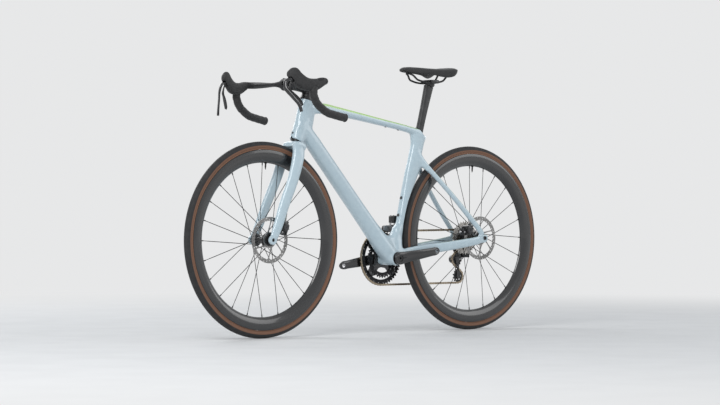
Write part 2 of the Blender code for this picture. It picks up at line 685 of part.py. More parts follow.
def make_stem():
    """Headset cover, stem body and faceplate."""
    foot = head_point(HEAD_TOP_Z)
    up = HEAD_UP.z
    cover_top = (STEM_LOW_Z - HEAD_TOP_Z) / up - GAP
    profile = (
        (0.0235, GAP * 2.0),
        (0.0235, 0.0045),
        (0.0195, cover_top),
        (STEERER_RADIUS + 4.0 * GAP, cover_top),
        (STEERER_RADIUS + 4.0 * GAP, GAP * 2.0),
    )
    add_piece("headset_cover", turned(profile, foot, HEAD_UP, 12, hollow=True), "anodised", foot)
    clamp = head_point(STEM_LOW_Z)
    height = (STEM_HIGH_Z - STEM_LOW_Z) / up
    stem = add_piece("stem", cylinder(clamp, HEAD_UP, STEM_RADIUS, 0.0, height, 16), "anodised", clamp)
    middle = clamp + HEAD_UP * (height / 2.0)
    reach = (BAR_CENTRE - middle).normalized()
    stations = []
    for share, depth, width in ((0.0, 0.0165, 0.0170), (0.4, 0.0150, 0.0160), (0.82, 0.0160, 0.0200)):
        point = middle.lerp(BAR_CENTRE, share)
        stations.append((point.x, 0.0, point.z, depth, width))
    join(stem, swept(stations, HEAD_UP, 12, 2.8))
    join(stem, cylinder(BAR_CENTRE, Y_AXIS, 0.0215, -0.023, 0.023, 16))
    split = turned_box(BAR_CENTRE + reach * 0.0300, reach, HEAD_UP, 0.0600, 0.080, 0.080)
    cut(stem, split)
    cut(stem, cylinder(BAR_CENTRE, Y_AXIS, BAR_CLAMP_RADIUS + 2.0 * GAP, -0.04, 0.04, 16))
    cut(stem, cylinder(clamp, HEAD_UP, STEERER_RADIUS + 2.0 * GAP, -0.01, height + 0.01, 16))
    barrel = cylinder(BAR_CENTRE, Y_AXIS, 0.0215, -0.023, 0.023, 16)
    cap = add_piece("stem_faceplate", barrel, "anodised", BAR_CENTRE)
    cut(cap, turned_box(BAR_CENTRE - reach * (0.0300 - GAP), reach, HEAD_UP, 0.0600, 0.080, 0.080))
    cut(cap, cylinder(BAR_CENTRE, Y_AXIS, BAR_CLAMP_RADIUS + 2.0 * GAP, -0.04, 0.04, 16))


def bar_rings(grow):
    """Rings of the whole handlebar from its right end to its left end."""
    right = mirrored(HANDLEBAR, -1.0)[::-1]
    return swept_rings(right[:-1] + list(HANDLEBAR), Y_AXIS, 8, grow=grow)


def half_bar(grow, side, first, last):
    """The rings of one half of the handlebar, numbered from the stem outwards."""
    rings = bar_rings(grow)
    middle = len(HANDLEBAR) - 1
    picked = [rings[middle + number * int(side)] for number in range(first, last)]
    return picked if side > 0 else picked[::-1]


def make_handlebar():
    add_piece("handlebar", loft(bar_rings(0.0)), "carbon", BAR_CENTRE)
    for side, word in ((1.0, "left"), (-1.0, "right")):
        span = (side, TAPE_FIRST_STATION, len(HANDLEBAR))
        outer = half_bar(TAPE_THICKNESS, *span)
        inner = half_bar(GAP, *span)
        add_piece("bar_tape_" + word, loft(outer + inner[::-1], hollow=True), "tape")


def hood_rings(side, shrink, first, last, inset):
    """Upright ovals of a hood, made smaller all round by shrink and shorter at both ends by inset."""
    rings = []
    for number in range(first, last):
        x, y, z, depth, width = HOOD[number]
        centre = Vector((x, y * side, z))
        if number == first:
            centre.x += inset
        if number == last - 1:
            centre.x -= inset
        rings.append(oval(centre, Z_AXIS, Y_AXIS, depth - shrink, width - shrink, 8, 2.5))
    return rings


def make_levers():
    for side, word in ((1.0, "left"), (-1.0, "right")):
        pivot = Vector((LEVER_PIVOT.x, LEVER_PIVOT.y * side, LEVER_PIVOT.z))
        toe_in = math.atan2(HOOD[2][1] - HOOD[5][1], HOOD[5][0] - HOOD[2][0]) * side
        pin_axis = Vector((math.sin(toe_in), math.cos(toe_in), 0.0))
        hood = add_piece("hood_" + word, loft(hood_rings(side, 0.0, 0, len(HOOD), 0.0)), "rubber")
        body = loft(hood_rings(side, HOOD_WALL + GAP, 1, 6, GAP))
        body = add_piece("lever_body_" + word, body, "anodised")
        cut(hood, loft(hood_rings(side, HOOD_WALL, 1, 6, 0.0)))
        for piece in (hood, body):
            cut(piece, lever_slot(pivot, pin_axis))
            cut(piece, loft(half_bar(2.0 * GAP, side, 4, 11)))
        make_lever_blade(side, word, pivot, pin_axis)


def lever_slot(pivot, pin_axis):
    """The space under the horn that the lever swings in."""
    forward = pin_axis.cross(Z_AXIS)
    forward = forward if forward.x > 0 else -forward
    centre = pivot + forward * 0.0130 - Z_AXIS * 0.0170
    return turned_box(centre, forward, Z_AXIS, 0.0497, 0.0508, 0.0190)


def make_lever_blade(side, word, pivot, pin_axis):
    """The brake lever on its pin, and the shift paddle behind its blade."""
    blade = swept(mirrored(LEVER, side), X_AXIS, 10, 2.6)
    lever = add_piece("brake_lever_" + word, blade, "anodised", pivot)
    join(lever, cylinder(pivot, pin_axis, 0.0060, -0.0060, 0.0060, 16))
    paddle = mirrored(PADDLE, side)
    hinge = Vector(paddle[0][:3])
    add_piece("shift_paddle_" + word, swept(paddle, X_AXIS, 8, 2.6), "anodised", hinge)


# Wheels


def tyre_profile():
    """A horseshoe section as (radius, y): outer skin, bead, inner skin, bead."""
    half = TYRE_WIDTH / 2.0
    centre = TYRE_RADIUS - half
    wall = 0.0020
    profile = []
    for step in range(7):
        angle = math.radians(-120.0 + 40.0 * step)
        profile.append((centre + half * math.cos(angle), half * math.sin(angle)))
    for step in range(3):
        angle = math.radians(112.0 - 112.0 * step)
        profile.append((centre + (half - wall) * math.cos(angle), (half - wall) * math.sin(angle)))
    return profile


def rim_profile():
    """The hollow rim's section as (radius, y): its outside, then the inside of its box."""
    inner = RIM_EDGE_RADIUS - RIM_DEPTH
    half = RIM_WIDTH / 2.0
    outside = [
        (RIM_EDGE_RADIUS, 0.0128),
        (inner + 0.026, half),
        (inner + 0.0050, 0.0080),
    ]
    outside += [(inner, 0.0)] + [(radius, -y) for radius, y in outside[::-1]]
    well = [
        (RIM_EDGE_RADIUS, -0.0100),
        (RIM_EDGE_RADIUS - 0.0085, -0.0085),
        (RIM_EDGE_RADIUS - 0.0085, 0.0085),
        (RIM_EDGE_RADIUS, 0.0100),
    ]
    return outside + well


def rim_cavity():
    """The closed space inside the rim's box."""
    inner = RIM_EDGE_RADIUS - RIM_DEPTH
    top = RIM_EDGE_RADIUS - 0.0110
    return [(top, 0.0105), (inner + 0.0080, 0.0), (top, -0.0105)]


VALVE_ANGLE = math.radians(93.0)
RIM_STEPS = 32


def wheel_spot(angle, radius, y):
    """A point beside a wheel's centre, at an angle in its plane."""
    return Vector((math.cos(angle) * radius, y, math.sin(angle) * radius))


def spoke_set(centre, flanges, reach):
    """Crossed bladed spokes from two flanges to the rim: one skin for each spoke."""
    parts = []
    for y, flange_radius, offset in flanges:
        for number in range(SPOKES_PER_SIDE):
            trailing = 1.0 if number % 2 else -1.0
            rim_angle = 2.0 * math.pi * number / SPOKES_PER_SIDE + offset
            hub_angle = rim_angle + trailing * math.radians(50.0)
            hub_y = y + math.copysign(0.0013, y) * trailing
            start = centre + wheel_spot(hub_angle, flange_radius, hub_y)
            end = centre + wheel_spot(rim_angle, reach, y * 0.03)
            along = (end - start).normalized()
            flat = along.cross(Y_AXIS)
            middle = (start + end) / 2.0
            parts.append(turned_box(middle, along, flat, (end - start).length, 0.0026, 0.0010))
    return merge(*parts)


def make_wheel(word, axle, hub_profile, flanges, bore, rotor_y, bore_half):
    tyre = turned(tyre_profile(), axle, Y_AXIS, RIM_STEPS, hollow=True)
    add_piece(word + "_tyre", tyre, "rubber", axle)
    rim = turned(rim_profile(), axle, Y_AXIS, RIM_STEPS, hollow=True)
    rim = add_piece(word + "_rim", rim, "carbon", axle)
    cut(rim, turned(rim_cavity(), axle, Y_AXIS, RIM_STEPS, hollow=True))
    direction = Vector((math.cos(VALVE_ANGLE), 0.0, math.sin(VALVE_ANGLE)))
    cut(rim, cylinder(axle, direction, 0.0033, RIM_EDGE_RADIUS - RIM_DEPTH - 0.01, RIM_EDGE_RADIUS, 6))
    hub = add_piece(word + "_hub", turned(hub_profile, axle, Y_AXIS, 10), "anodised", axle)
    reach = (RIM_EDGE_RADIUS - RIM_DEPTH) * math.cos(math.pi / RIM_STEPS) - GAP
    join(hub, spoke_set(axle, flanges, reach))
    cut(hub, cylinder(axle, Y_AXIS, bore, -bore_half, bore_half, 16))
    make_rotor(word + "_rotor", axle, rotor_y)


def make_rotor(name, axle, y):
    """A brake rotor: a steel band on six arms, on an alloy carrier."""
    half = 0.0009
    carrier = tube_ring(axle, Y_AXIS, 0.0270, 0.0178, y - half, y + half, 10)
    rotor = add_piece(name, carrier, "steel", axle)
    arms = []
    for number in range(6):
        angle = math.radians(60.0 * number + 12.0)
        start = axle + wheel_spot(angle, 0.0245, y)
        end = axle + wheel_spot(angle + math.radians(24.0), 0.0690, y)
        along = (end - start).normalized()
        flat = along.cross(Y_AXIS)
        length = (end - start).length
        arms.append(turned_box((start + end) / 2.0, along, flat, length, 0.0050, half * 1.8))
    join(rotor, merge(*arms))
    join(rotor, tube_ring(axle, Y_AXIS, ROTOR_RADIUS, 0.0660, y - half, y + half, 20))


HUB_RIGHT_END = -0.0200
FRONT_ROTOR_Y = 0.0390
REAR_ROTOR_Y = 0.0545


def make_wheels():
    front_hub = (
        (0.0095, -0.0495),
        (0.0125, -0.0420),
        (0.0220, -0.0350),
        (0.0220, -0.0320),
        (0.0120, -0.0270),
        (0.0105, 0.0000),
        (0.0125, 0.0180),
        (0.0240, 0.0225),
        (0.0240, 0.0255),
        (0.0168, 0.0300),
        (0.0168, 0.0440),
        (0.0095, 0.0495),
    )
    half_step = math.pi / SPOKES_PER_SIDE
    make_wheel("front", FRONT_AXLE, front_hub, ((-0.0335, 0.0200, 0.0), (0.0240, 0.0220, half_step)),
               AXLE_RADIUS + GAP, FRONT_ROTOR_Y, 0.060)
    rear_hub = (
        (0.0200, HUB_RIGHT_END),
        (0.0250, -0.0185),
        (0.0250, -0.0155),
        (0.0150, -0.0100),
        (0.0125, 0.0100),
        (0.0140, 0.0280),
        (0.0240, 0.0325),
        (0.0240, 0.0355),
        (0.0168, 0.0400),
        (0.0168, 0.0620),
        (0.0095, 0.0705),
    )
    make_wheel("rear", REAR_AXLE, rear_hub, ((-0.0170, 0.0230, 0.0), (0.0340, 0.0220, half_step)),
               AXLE_RADIUS + GAP, REAR_ROTOR_Y, 0.080)


# Drivetrain


def sprocket_y(number):
    """The middle of the cassette's sprocket, counted from the smallest."""
    driven = CASSETTE_TEETH.index(DRIVEN_SPROCKET_TEETH)
    return CHAIN_Y + (number - driven) * SPROCKET_PITCH


def make_cassette():
    """Twelve sprockets and their spacers on the freehub body, all one turning cluster."""
    half = SPROCKET_THICKNESS / 2.0
    outer_end = sprocket_y(0) - 0.0025
    inner_end = HUB_RIGHT_END - GAP
    profile = (
        (0.0090, 0.0005 - REAR_DROPOUT),
        (0.0090, outer_end),
        (0.0165, outer_end),
        (0.0165, inner_end),
    )
    cassette = add_piece("cassette", turned(profile, REAR_AXLE, Y_AXIS, 8), "steel", REAR_AXLE)
    for number, teeth in enumerate(CASSETTE_TEETH):
        y = sprocket_y(number)
        if teeth in (DRIVEN_SPROCKET_TEETH, CASSETTE_TEETH[-1]):
            outline = tooth_outline(teeth, REAR_AXLE, math.pi / 2.0)
            join(cassette, plate(outline, y - half, y + half))
        else:
            reach = pitch_radius(teeth)
            join(cassette, cylinder(REAR_AXLE, Y_AXIS, reach, y - half, y + half, max(10, teeth // 2)))
    cut(cassette, cylinder(REAR_AXLE, Y_AXIS, AXLE_RADIUS + 2.0 * GAP, -0.08, 0.0, 12))


def make_chainring(name, teeth, y, spider_radius):
    half = RING_THICKNESS / 2.0
    outline = tooth_outline(teeth, BOTTOM_BRACKET, math.pi / 2.0)
    ring = add_piece(name, plate(outline, y - half, y + half), "anodised", BOTTOM_BRACKET)
    cut(ring, cylinder(BOTTOM_BRACKET, Y_AXIS, spider_radius, -0.08, 0.0, 24))


CRANK_INNER = 0.0455
RING_SPACING = 0.0078
INNER_RING_Y = CHAIN_Y + RING_SPACING
SPIDER_Y = CHAIN_Y + RING_THICKNESS / 2.0 + GAP
SPIDER_THICKNESS = RING_SPACING - RING_THICKNESS - 2.0 * GAP
SPIDER_RADIUS = 0.0590


def crank_stations(side):
    """Stations of a crank arm from the spindle to past the pedal hole, at the angle of the photograph."""
    rise = CRANK_RISE * side
    direction = Vector((-side * math.cos(rise), 0.0, side * math.sin(rise) * side))
    places = (
        (-0.0180, 0.0520, 0.0140, 0.0060),
        (-0.0060, 0.0520, 0.0215, 0.0065),
        (0.0300, 0.0545, 0.0205, 0.0064),
        (0.0850, 0.0612, 0.0180, 0.0062),
        (0.1480, 0.0660, 0.0150, 0.0060),
        (0.1700, 0.0665, 0.0140, 0.0060),
        (0.1820, 0.0665, 0.0080, 0.0055),
    )
    stations = []
    for reach, y, depth, width in places:
        point = BOTTOM_BRACKET + direction * reach
        stations.append((point.x, y * side, point.z, depth, width))
    return stations, direction


def make_cranks():
    """Left arm, right arm with its spider and spindle, and two chainrings."""
    for side, word in ((1.0, "left"), (-1.0, "right")):
        stations, direction = crank_stations(side)
        arm = swept(stations, Z_AXIS, 10, 2.8)
        crank = add_piece("crank_" + word, arm, "anodised", BOTTOM_BRACKET)
        if side < 0:
            join(crank, make_spider())
            cut(crank, cylinder(BOTTOM_BRACKET, Y_AXIS, 0.0262, -CRANK_INNER, -0.0350, 16))
            join(crank, cylinder(BOTTOM_BRACKET, Y_AXIS, 0.0330, -0.0520, -CRANK_INNER, 20))
            join(crank, cylinder(BOTTOM_BRACKET, Y_AXIS, 0.0145, -0.0500, 0.0440, 16))
        else:
            cut(crank, cylinder(BOTTOM_BRACKET, Y_AXIS, 0.0600, 0.0400, CRANK_INNER, 24))
            cut(crank, cylinder(BOTTOM_BRACKET, Y_AXIS, 0.0050, 0.0500, 0.0700, 12))
        pedal = BOTTOM_BRACKET + direction * CRANK_LENGTH
        low, high = sorted((side * 0.050, side * 0.080))
        face = side * (0.0665 + 0.0045)
        span = sorted((face, side * 0.085))
        cut(crank, cylinder(pedal, Y_AXIS, 0.0110, span[0], span[1], 16))
        cut(crank, cylinder(pedal, Y_AXIS, 0.0071, low, high, 12))
    make_chainring("chainring_outer", OUTER_RING_TEETH, CHAIN_Y, 0.0780)
    make_chainring("chainring_inner", INNER_RING_TEETH, INNER_RING_Y, SPIDER_RADIUS - 0.0065)


def make_spider():
    """A solid boss and five arms that carry the chainrings."""
    low = SPIDER_Y
    high = SPIDER_Y + SPIDER_THICKNESS
    outline = []
    for arm in range(4):
        middle = math.radians(90.0 * arm + 45.0)
        tip = SPIDER_RADIUS + 0.0225
        for turn, radius in ((-0.55, 0.0330), (-0.22, tip), (0.22, tip), (0.55, 0.0330)):
            spot = BOTTOM_BRACKET + wheel_spot(middle + turn, radius, 0.0)
            outline.append((spot.x, spot.z))
    return plate(outline, low, high)


def arc(centre, radius, start, end, steps):
    """Points (x, z) on an arc between two angles in degrees."""
    points = []
    for step in range(steps + 1):
        angle = math.radians(start + (end - start) * step / steps)
        points.append(Vector((centre.x, 0.0, centre.z)) + wheel_spot(angle, radius, CHAIN_Y))
    return points


def tangent_angle(first, first_radius, second, second_radius, crossed, upper):
    """The angle in degrees where a straight run leaves the first circle for the second."""
    offset = second - first
    distance = math.hypot(offset.x, offset.z)
    heading = math.atan2(offset.z, offset.x)
    change = first_radius + second_radius if crossed else first_radius - second_radius
    turn = math.acos(change / distance)
    return math.degrees(heading + (turn if upper else -turn))


def chain_path():
    """The closed line of the chain's pins: ring, lower run, pulleys, cassette, upper run."""
    ring = pitch_radius(OUTER_RING_TEETH)
    sprocket = pitch_radius(DRIVEN_SPROCKET_TEETH)
    pulley = pitch_radius(PULLEY_TEETH)
    top = tangent_angle(BOTTOM_BRACKET, ring, REAR_AXLE, sprocket, False, False)
    bottom = tangent_angle(BOTTOM_BRACKET, ring, TENSION_PULLEY, pulley, False, True)
    points = arc(BOTTOM_BRACKET, ring, top, bottom, 12)
    to_guide = tangent_angle(TENSION_PULLEY, pulley, GUIDE_PULLEY, pulley, True, True)
    points += arc(TENSION_PULLEY, pulley, bottom, to_guide - 360.0, 7)
    guide_end = tangent_angle(GUIDE_PULLEY, pulley, REAR_AXLE, sprocket, True, False)
    points += arc(GUIDE_PULLEY, pulley, to_guide - 180.0, guide_end, 6)
    points += arc(REAR_AXLE, sprocket, guide_end + 180.0, top, 7)
    return points


def make_chain():
    """The chain as one closed band, slotted where the teeth of its wheels turn."""
    path = chain_path()
    rings = []
    count = len(path)
    for i, point in enumerate(path):
        along = (path[(i + 1) % count] - path[i - 1]).normalized()
        outward = along.cross(Y_AXIS)
        corners = ((-1, -1), (1, -1), (1, 1), (-1, 1))
        ring = []
        for a, b in corners:
            ring.append(point + outward * (CHAIN_HALF_HEIGHT * a) + Y_AXIS * (CHAIN_HALF_WIDTH * b))
        rings.append(ring)
    chain = add_piece("chain", loft(rings, hollow=True), "steel")
    wheels = (
        (BOTTOM_BRACKET, OUTER_RING_TEETH, 32),
        (REAR_AXLE, DRIVEN_SPROCKET_TEETH, 16),
        (GUIDE_PULLEY, PULLEY_TEETH, 14),
        (TENSION_PULLEY, PULLEY_TEETH, 14),
    )
    for centre, teeth, steps in wheels:
        slot = RING_THICKNESS / 2.0 + GAP
        reach = (pitch_radius(teeth) + TOOTH_REACH + 0.0002) / math.cos(math.pi / steps)
        middle = Vector((centre.x, CHAIN_Y, centre.z))
        cut(chain, cylinder(middle, Y_AXIS, reach, -slot, slot, steps))


def make_pulleys():
    for centre, word in ((GUIDE_PULLEY, "guide"), (TENSION_PULLEY, "tension")):
        half = RING_THICKNESS / 2.0
        outline = tooth_outline(PULLEY_TEETH, centre, 0.0)
        disc = plate(outline, centre.y - half, centre.y + half)
        pulley = add_piece(word + "_pulley", disc, "anodised", centre)
        join(pulley, cylinder(centre, Y_AXIS, 0.0075, -0.0026, 0.0026, 12))
        cut(pulley, cylinder(centre, Y_AXIS, 0.0028, -0.01, 0.01, 8))


CAGE_GAP = 0.0034
CAGE_WALL = 0.0018


def cage_outline(grow):
    """The outline of a derailleur cage plate round both pulleys, as (x, z)."""
    outline = []
    for step in range(7):
        angle = math.radians(0.0 + 30.0 * step)
        spot = GUIDE_PULLEY + wheel_spot(angle, grow, 0.0)
        outline.append((spot.x, spot.z))
    waist = (GUIDE_PULLEY + TENSION_PULLEY) / 2.0
    outline.append((waist.x - grow * 0.6, waist.z))
    for step in range(7):
        angle = math.radians(180.0 + 30.0 * step)
        spot = TENSION_PULLEY + wheel_spot(angle, grow, 0.0)
        outline.append((spot.x, spot.z))
    outline.append((waist.x + grow * 0.6, waist.z))
    return outline


def make_rear_derailleur():
    """The fixed body on the hanger, and the swinging cage with its two pulley pins."""
    outer = CHAIN_Y - CAGE_GAP
    inner = CHAIN_Y + CAGE_GAP
    outer_plate = plate(cage_outline(0.0115), outer - CAGE_WALL, outer)
    cage = add_piece("derailleur_cage", outer_plate, "carbon", GUIDE_PULLEY)
    for centre in (GUIDE_PULLEY, TENSION_PULLEY):
        pin = Vector((centre.x, CHAIN_Y, centre.z))
        join(cage, cylinder(pin, Y_AXIS, 0.0022, -CAGE_GAP - 0.001, CAGE_GAP + 0.001, 6))
    join(cage, plate(cage_outline(0.0095), inner, inner + CAGE_WALL))
    hanger_face = -(REAR_DROPOUT + GAP + DROPOUT_THICKNESS) - GAP
    mount = Vector((REAR_AXLE.x - 0.0060, 0.0, REAR_AXLE.z - 0.0290))
    knuckle_end = outer - CAGE_WALL - GAP
    knuckle = Vector((GUIDE_PULLEY.x, 0.0, GUIDE_PULLEY.z))
    barrel = cylinder(knuckle, Y_AXIS, 0.0145, knuckle_end - 0.024, knuckle_end + 0.002, 14)
    body = add_piece("derailleur_body", barrel, "anodised", GUIDE_PULLEY)
    arm = hanger_face - 0.0045 - GAP
    join(body, cylinder(mount, Y_AXIS, 0.0110, arm - 0.0100, arm, 14))
    link = (
        (mount.x, arm - 0.0052, mount.z, 0.0095, 0.0048),
        (mount.x - 0.0120, arm - 0.0068, mount.z - 0.0170, 0.0110, 0.0058),
        (mount.x - 0.0140, arm + 0.0080, mount.z - 0.0330, 0.0120, 0.0100),
        (knuckle.x - 0.0200, knuckle_end - 0.0140, knuckle.z + 0.0100, 0.0120, 0.0100),
        (knuckle.x, knuckle_end - 0.0125, knuckle.z, 0.0125, 0.0100),
    )
    join(body, swept(link, X_AXIS, 8, 3.0))
    low = Vector((mount.x - 0.0500, knuckle_end - 0.0230, mount.z - 0.0450))
    high = Vector((mount.x - 0.0160, knuckle_end - 0.0030, mount.z - 0.0180))
    join(body, box(low, high))
    cage_low = (knuckle.x - 0.0500, knuckle_end, knuckle.z - 0.0300)
    cage_high = (knuckle.x + 0.0300, 0.0, knuckle.z + 0.0300)
    cut(body, box(cage_low, cage_high))


def make_front_derailleur():
    """The motor body on the seat tube, and the cage that the chain runs through."""
    centre_x = -0.1500
    motor = box((centre_x - 0.013, -0.0460, 0.3905), (centre_x + 0.022, -0.0185, 0.4240))
    body = add_piece("front_derailleur_body", motor, "anodised")
    join(body, box((centre_x - 0.010, -0.0200, 0.3960), (centre_x + 0.008, -0.0120, 0.4180)))
    cut(body, channel(seat_stations(), X_AXIS, 10, 2.5))
    half = 0.0045
    low = 0.3600
    cage_outer = (
        (-0.1720, low), (-0.1180, low + 0.006), (-0.0920, low + 0.012), (-0.0920, low + 0.026),
        (-0.1300, low + 0.028), (-0.1720, low + 0.020),
    )
    outer = CHAIN_Y - half
    inner = CHAIN_Y + half
    cage = add_piece("front_derailleur_cage", plate(cage_outer, outer - 0.0012, outer), "alloy")
    join(cage, box((-0.1700, outer - 0.0006, low + 0.0170), (-0.1640, inner + 0.0006, low + 0.0200)))
    join(cage, box((-0.1360, outer - 0.0006, low + 0.0240), (-0.1240, inner + 0.0006, low + 0.0275)))
    join(cage, plate(cage_outer, inner, inner + 0.0012))
    join(cage, box((-0.1640, inner - 0.0005, low + 0.0180), (-0.1400, inner + 0.0040, low + 0.0300)))


# Disc brakes


CALIPER_REACH = 0.0640
CALIPER_OFFSET = 0.0400
CALIPER_SIZE = Vector((0.0560, 0.0360, 0.0300))
PAD_SIZE = Vector((0.0236, 0.0170, 0.0030))
PAD_LIFT = 0.0006
HOSE_RADIUS = 0.0025


def limb_axes(axle, upper, lower, away):
    """Unit vectors in the wheel's plane: along a leg or stay, away from the axle, and off its surface."""
    up = Vector(upper[:3]) - Vector(lower[:3])
    up.y = 0.0
    up.normalize()
    off = up.cross(Y_AXIS).normalized()
    return up, off if off.dot(Vector(away)) > 0 else -off


def hose_stations(axle, up, off, limb_y, rotor_y):
    """A hose from inside a leg or stay, out of its surface and down to the caliper's end."""
    end = CALIPER_REACH + CALIPER_SIZE.x / 2.0 - 0.0030
    places = (
        (end + 0.0560, 0.0040, limb_y),
        (end + 0.0440, 0.0110, limb_y),
        (end + 0.0300, 0.0270, (limb_y + rotor_y) / 2.0),
        (end + 0.0150, 0.0350, rotor_y + 0.0010),
        (end, 0.0370, rotor_y),
    )
    stations = []
    for reach, lift, y in places:
        point = axle + up * reach + off * lift
        stations.append((point.x, y, point.z, HOSE_RADIUS, HOSE_RADIUS))
    return stations


def make_caliper(word, axle, rotor_y, up, off, limb):
    """A two-piston caliper astride its rotor, seated on its leg or stay, and its two sliding pads."""
    middle = Vector((axle.x, rotor_y, axle.z))
    centre = middle + up * CALIPER_REACH + off * CALIPER_OFFSET
    body = add_piece(word + "_caliper", turned_box(centre, up, off, *CALIPER_SIZE), "anodised", centre)
    cut(body, limb)
    reach = ROTOR_RADIUS + 0.0015
    cut(body, cylinder(middle, Y_AXIS, reach, -0.0016, 0.0016, 40))
    pad_centre = middle + up * (CALIPER_REACH - 0.0010) + off * (CALIPER_OFFSET - 0.0020)
    pocket = turned_box(pad_centre + off * 0.0100, up, off, PAD_SIZE.x + 0.0010, PAD_SIZE.y + 0.0210, 0.0094)
    cut(body, pocket)
    for side, name in ((1.0, "outer"), (-1.0, "inner")):
        shift = 0.0009 + PAD_LIFT + PAD_SIZE.z / 2.0
        place = pad_centre + Y_AXIS * (side * shift)
        add_piece(word + "_pad_" + name, turned_box(place, up, off, *PAD_SIZE), "steel", place)


def make_brakes():
    """Both calipers with their pads, and the hoses that come to them out of the leg and the stay."""
    front_up, front_off = limb_axes(FRONT_AXLE, FORK_LEG[4], FORK_LEG[5], (-1.0, 0.0, 0.0))
    leg = channel(FORK_LEG, X_AXIS, 10, 2.4)
    make_caliper("front", FRONT_AXLE, FRONT_ROTOR_Y, front_up, front_off, leg)
    rear_up, rear_off = limb_axes(REAR_AXLE, CHAIN_STAY[4], CHAIN_STAY[5], (0.0, 0.0, 1.0))
    stay = channel(CHAIN_STAY[STAY_STUB_STATIONS:], Z_AXIS, 10, 2.4)
    make_caliper("rear", REAR_AXLE, REAR_ROTOR_Y, rear_up, rear_off, stay)
    seatstay = channel(SEAT_STAY[STAY_STUB_STATIONS:], Z_AXIS, 10, 2.4, gap=0.0010)
    cut(bpy.data.objects["rear_caliper"], seatstay)
    front = hose_stations(FRONT_AXLE, front_up, front_off, 0.0480, FRONT_ROTOR_Y)
    rear = hose_stations(REAR_AXLE, rear_up, rear_off, 0.0590, REAR_ROTOR_Y)
    for stations, name, limb in ((front, "front_hose", "fork"), (rear, "rear_hose", "chainstay_left")):
        normal = front_off if name == "front_hose" else rear_off
        for pierced in (limb, name.replace("hose", "caliper")):
            cut(bpy.data.objects[pierced], channel(stations, normal, 8))
        add_piece(name, swept(stations, normal, 8), "rubber")


# Saddle and seatpost

SADDLE = (
    (-0.1530, 0.0100, 0.9530, 0.9450, 0.9475),
    (-0.1590, 0.0165, 0.9585, 0.9400, 0.9450),
    (-0.1780, 0.0200, 0.9625, 0.9375, 0.9445),
    (-0.2100, 0.0215, 0.9632, 0.9370, 0.9460),
    (-0.2500, 0.0265, 0.9620, 0.9365, 0.9470),
    (-0.2850, 0.0375, 0.9608, 0.9355, 0.9480),
    (-0.3150, 0.0520, 0.9605, 0.9335, 0.9490),
    (-0.3420, 0.0665, 0.9622, 0.9315, 0.9500),
    (-0.3600, 0.0705, 0.9650, 0.9325, 0.9515),
    (-0.3750, 0.0640, 0.9658, 0.9390, 0.9530),
    (-0.3850, 0.0480, 0.9645, 0.9500, 0.9545),
)
SHELL_THICKNESS = 0.0020
SADDLE_PIVOT = Vector((-0.2960, 0.0, 0.9035))
RAIL_Y = 0.0220
RAIL_RADIUS = 0.0035
RAIL_Z = 0.9135
POST_BOTTOM_Z = 0.6000
POST_TOP_Z = 0.8960


def saddle_section(x, half_width, top, skirt, under):
    """A section of the saddle: crowned top, round shoulders, drawn-in sides, hollow underside."""
    outline = (
        (0.45, top - 0.0004),
        (0.78, top - 0.0026),
        (0.95, top - 0.0070),
        (1.00, top * 0.55 + skirt * 0.45),
        (0.95, skirt + 0.0030),
        (0.86, skirt),
        (0.76, skirt * 0.55 + under * 0.45),
        (0.40, under),
    )
    right = [Vector((x, -share * half_width, z)) for share, z in outline]
    left = [Vector((x, share * half_width, z)) for share, z in outline]
    return [Vector((x, 0.0, top))] + left + [Vector((x, 0.0, under))] + right[::-1]


def shell_section(x, half_width, skirt, under):
    """The carbon base that follows the hollow underside a gap below it."""
    lift = 4.0 * GAP
    edge = skirt * 0.55 + under * 0.45
    outline = ((0.0, under), (0.40, under), (0.70, edge * 0.84 + under * 0.16))
    upper = [(share, z - lift) for share, z in outline]
    lower = [(share * 0.97, z - lift - SHELL_THICKNESS) for share, z in outline]
    ring = [Vector((x, share * half_width, z)) for share, z in upper]
    ring += [Vector((x, share * half_width, z)) for share, z in lower[::-1]]
    ring += [Vector((x, -share * half_width, z)) for share, z in lower[1:]]
    ring += [Vector((x, -share * half_width, z)) for share, z in upper[:0:-1]]
    return ring


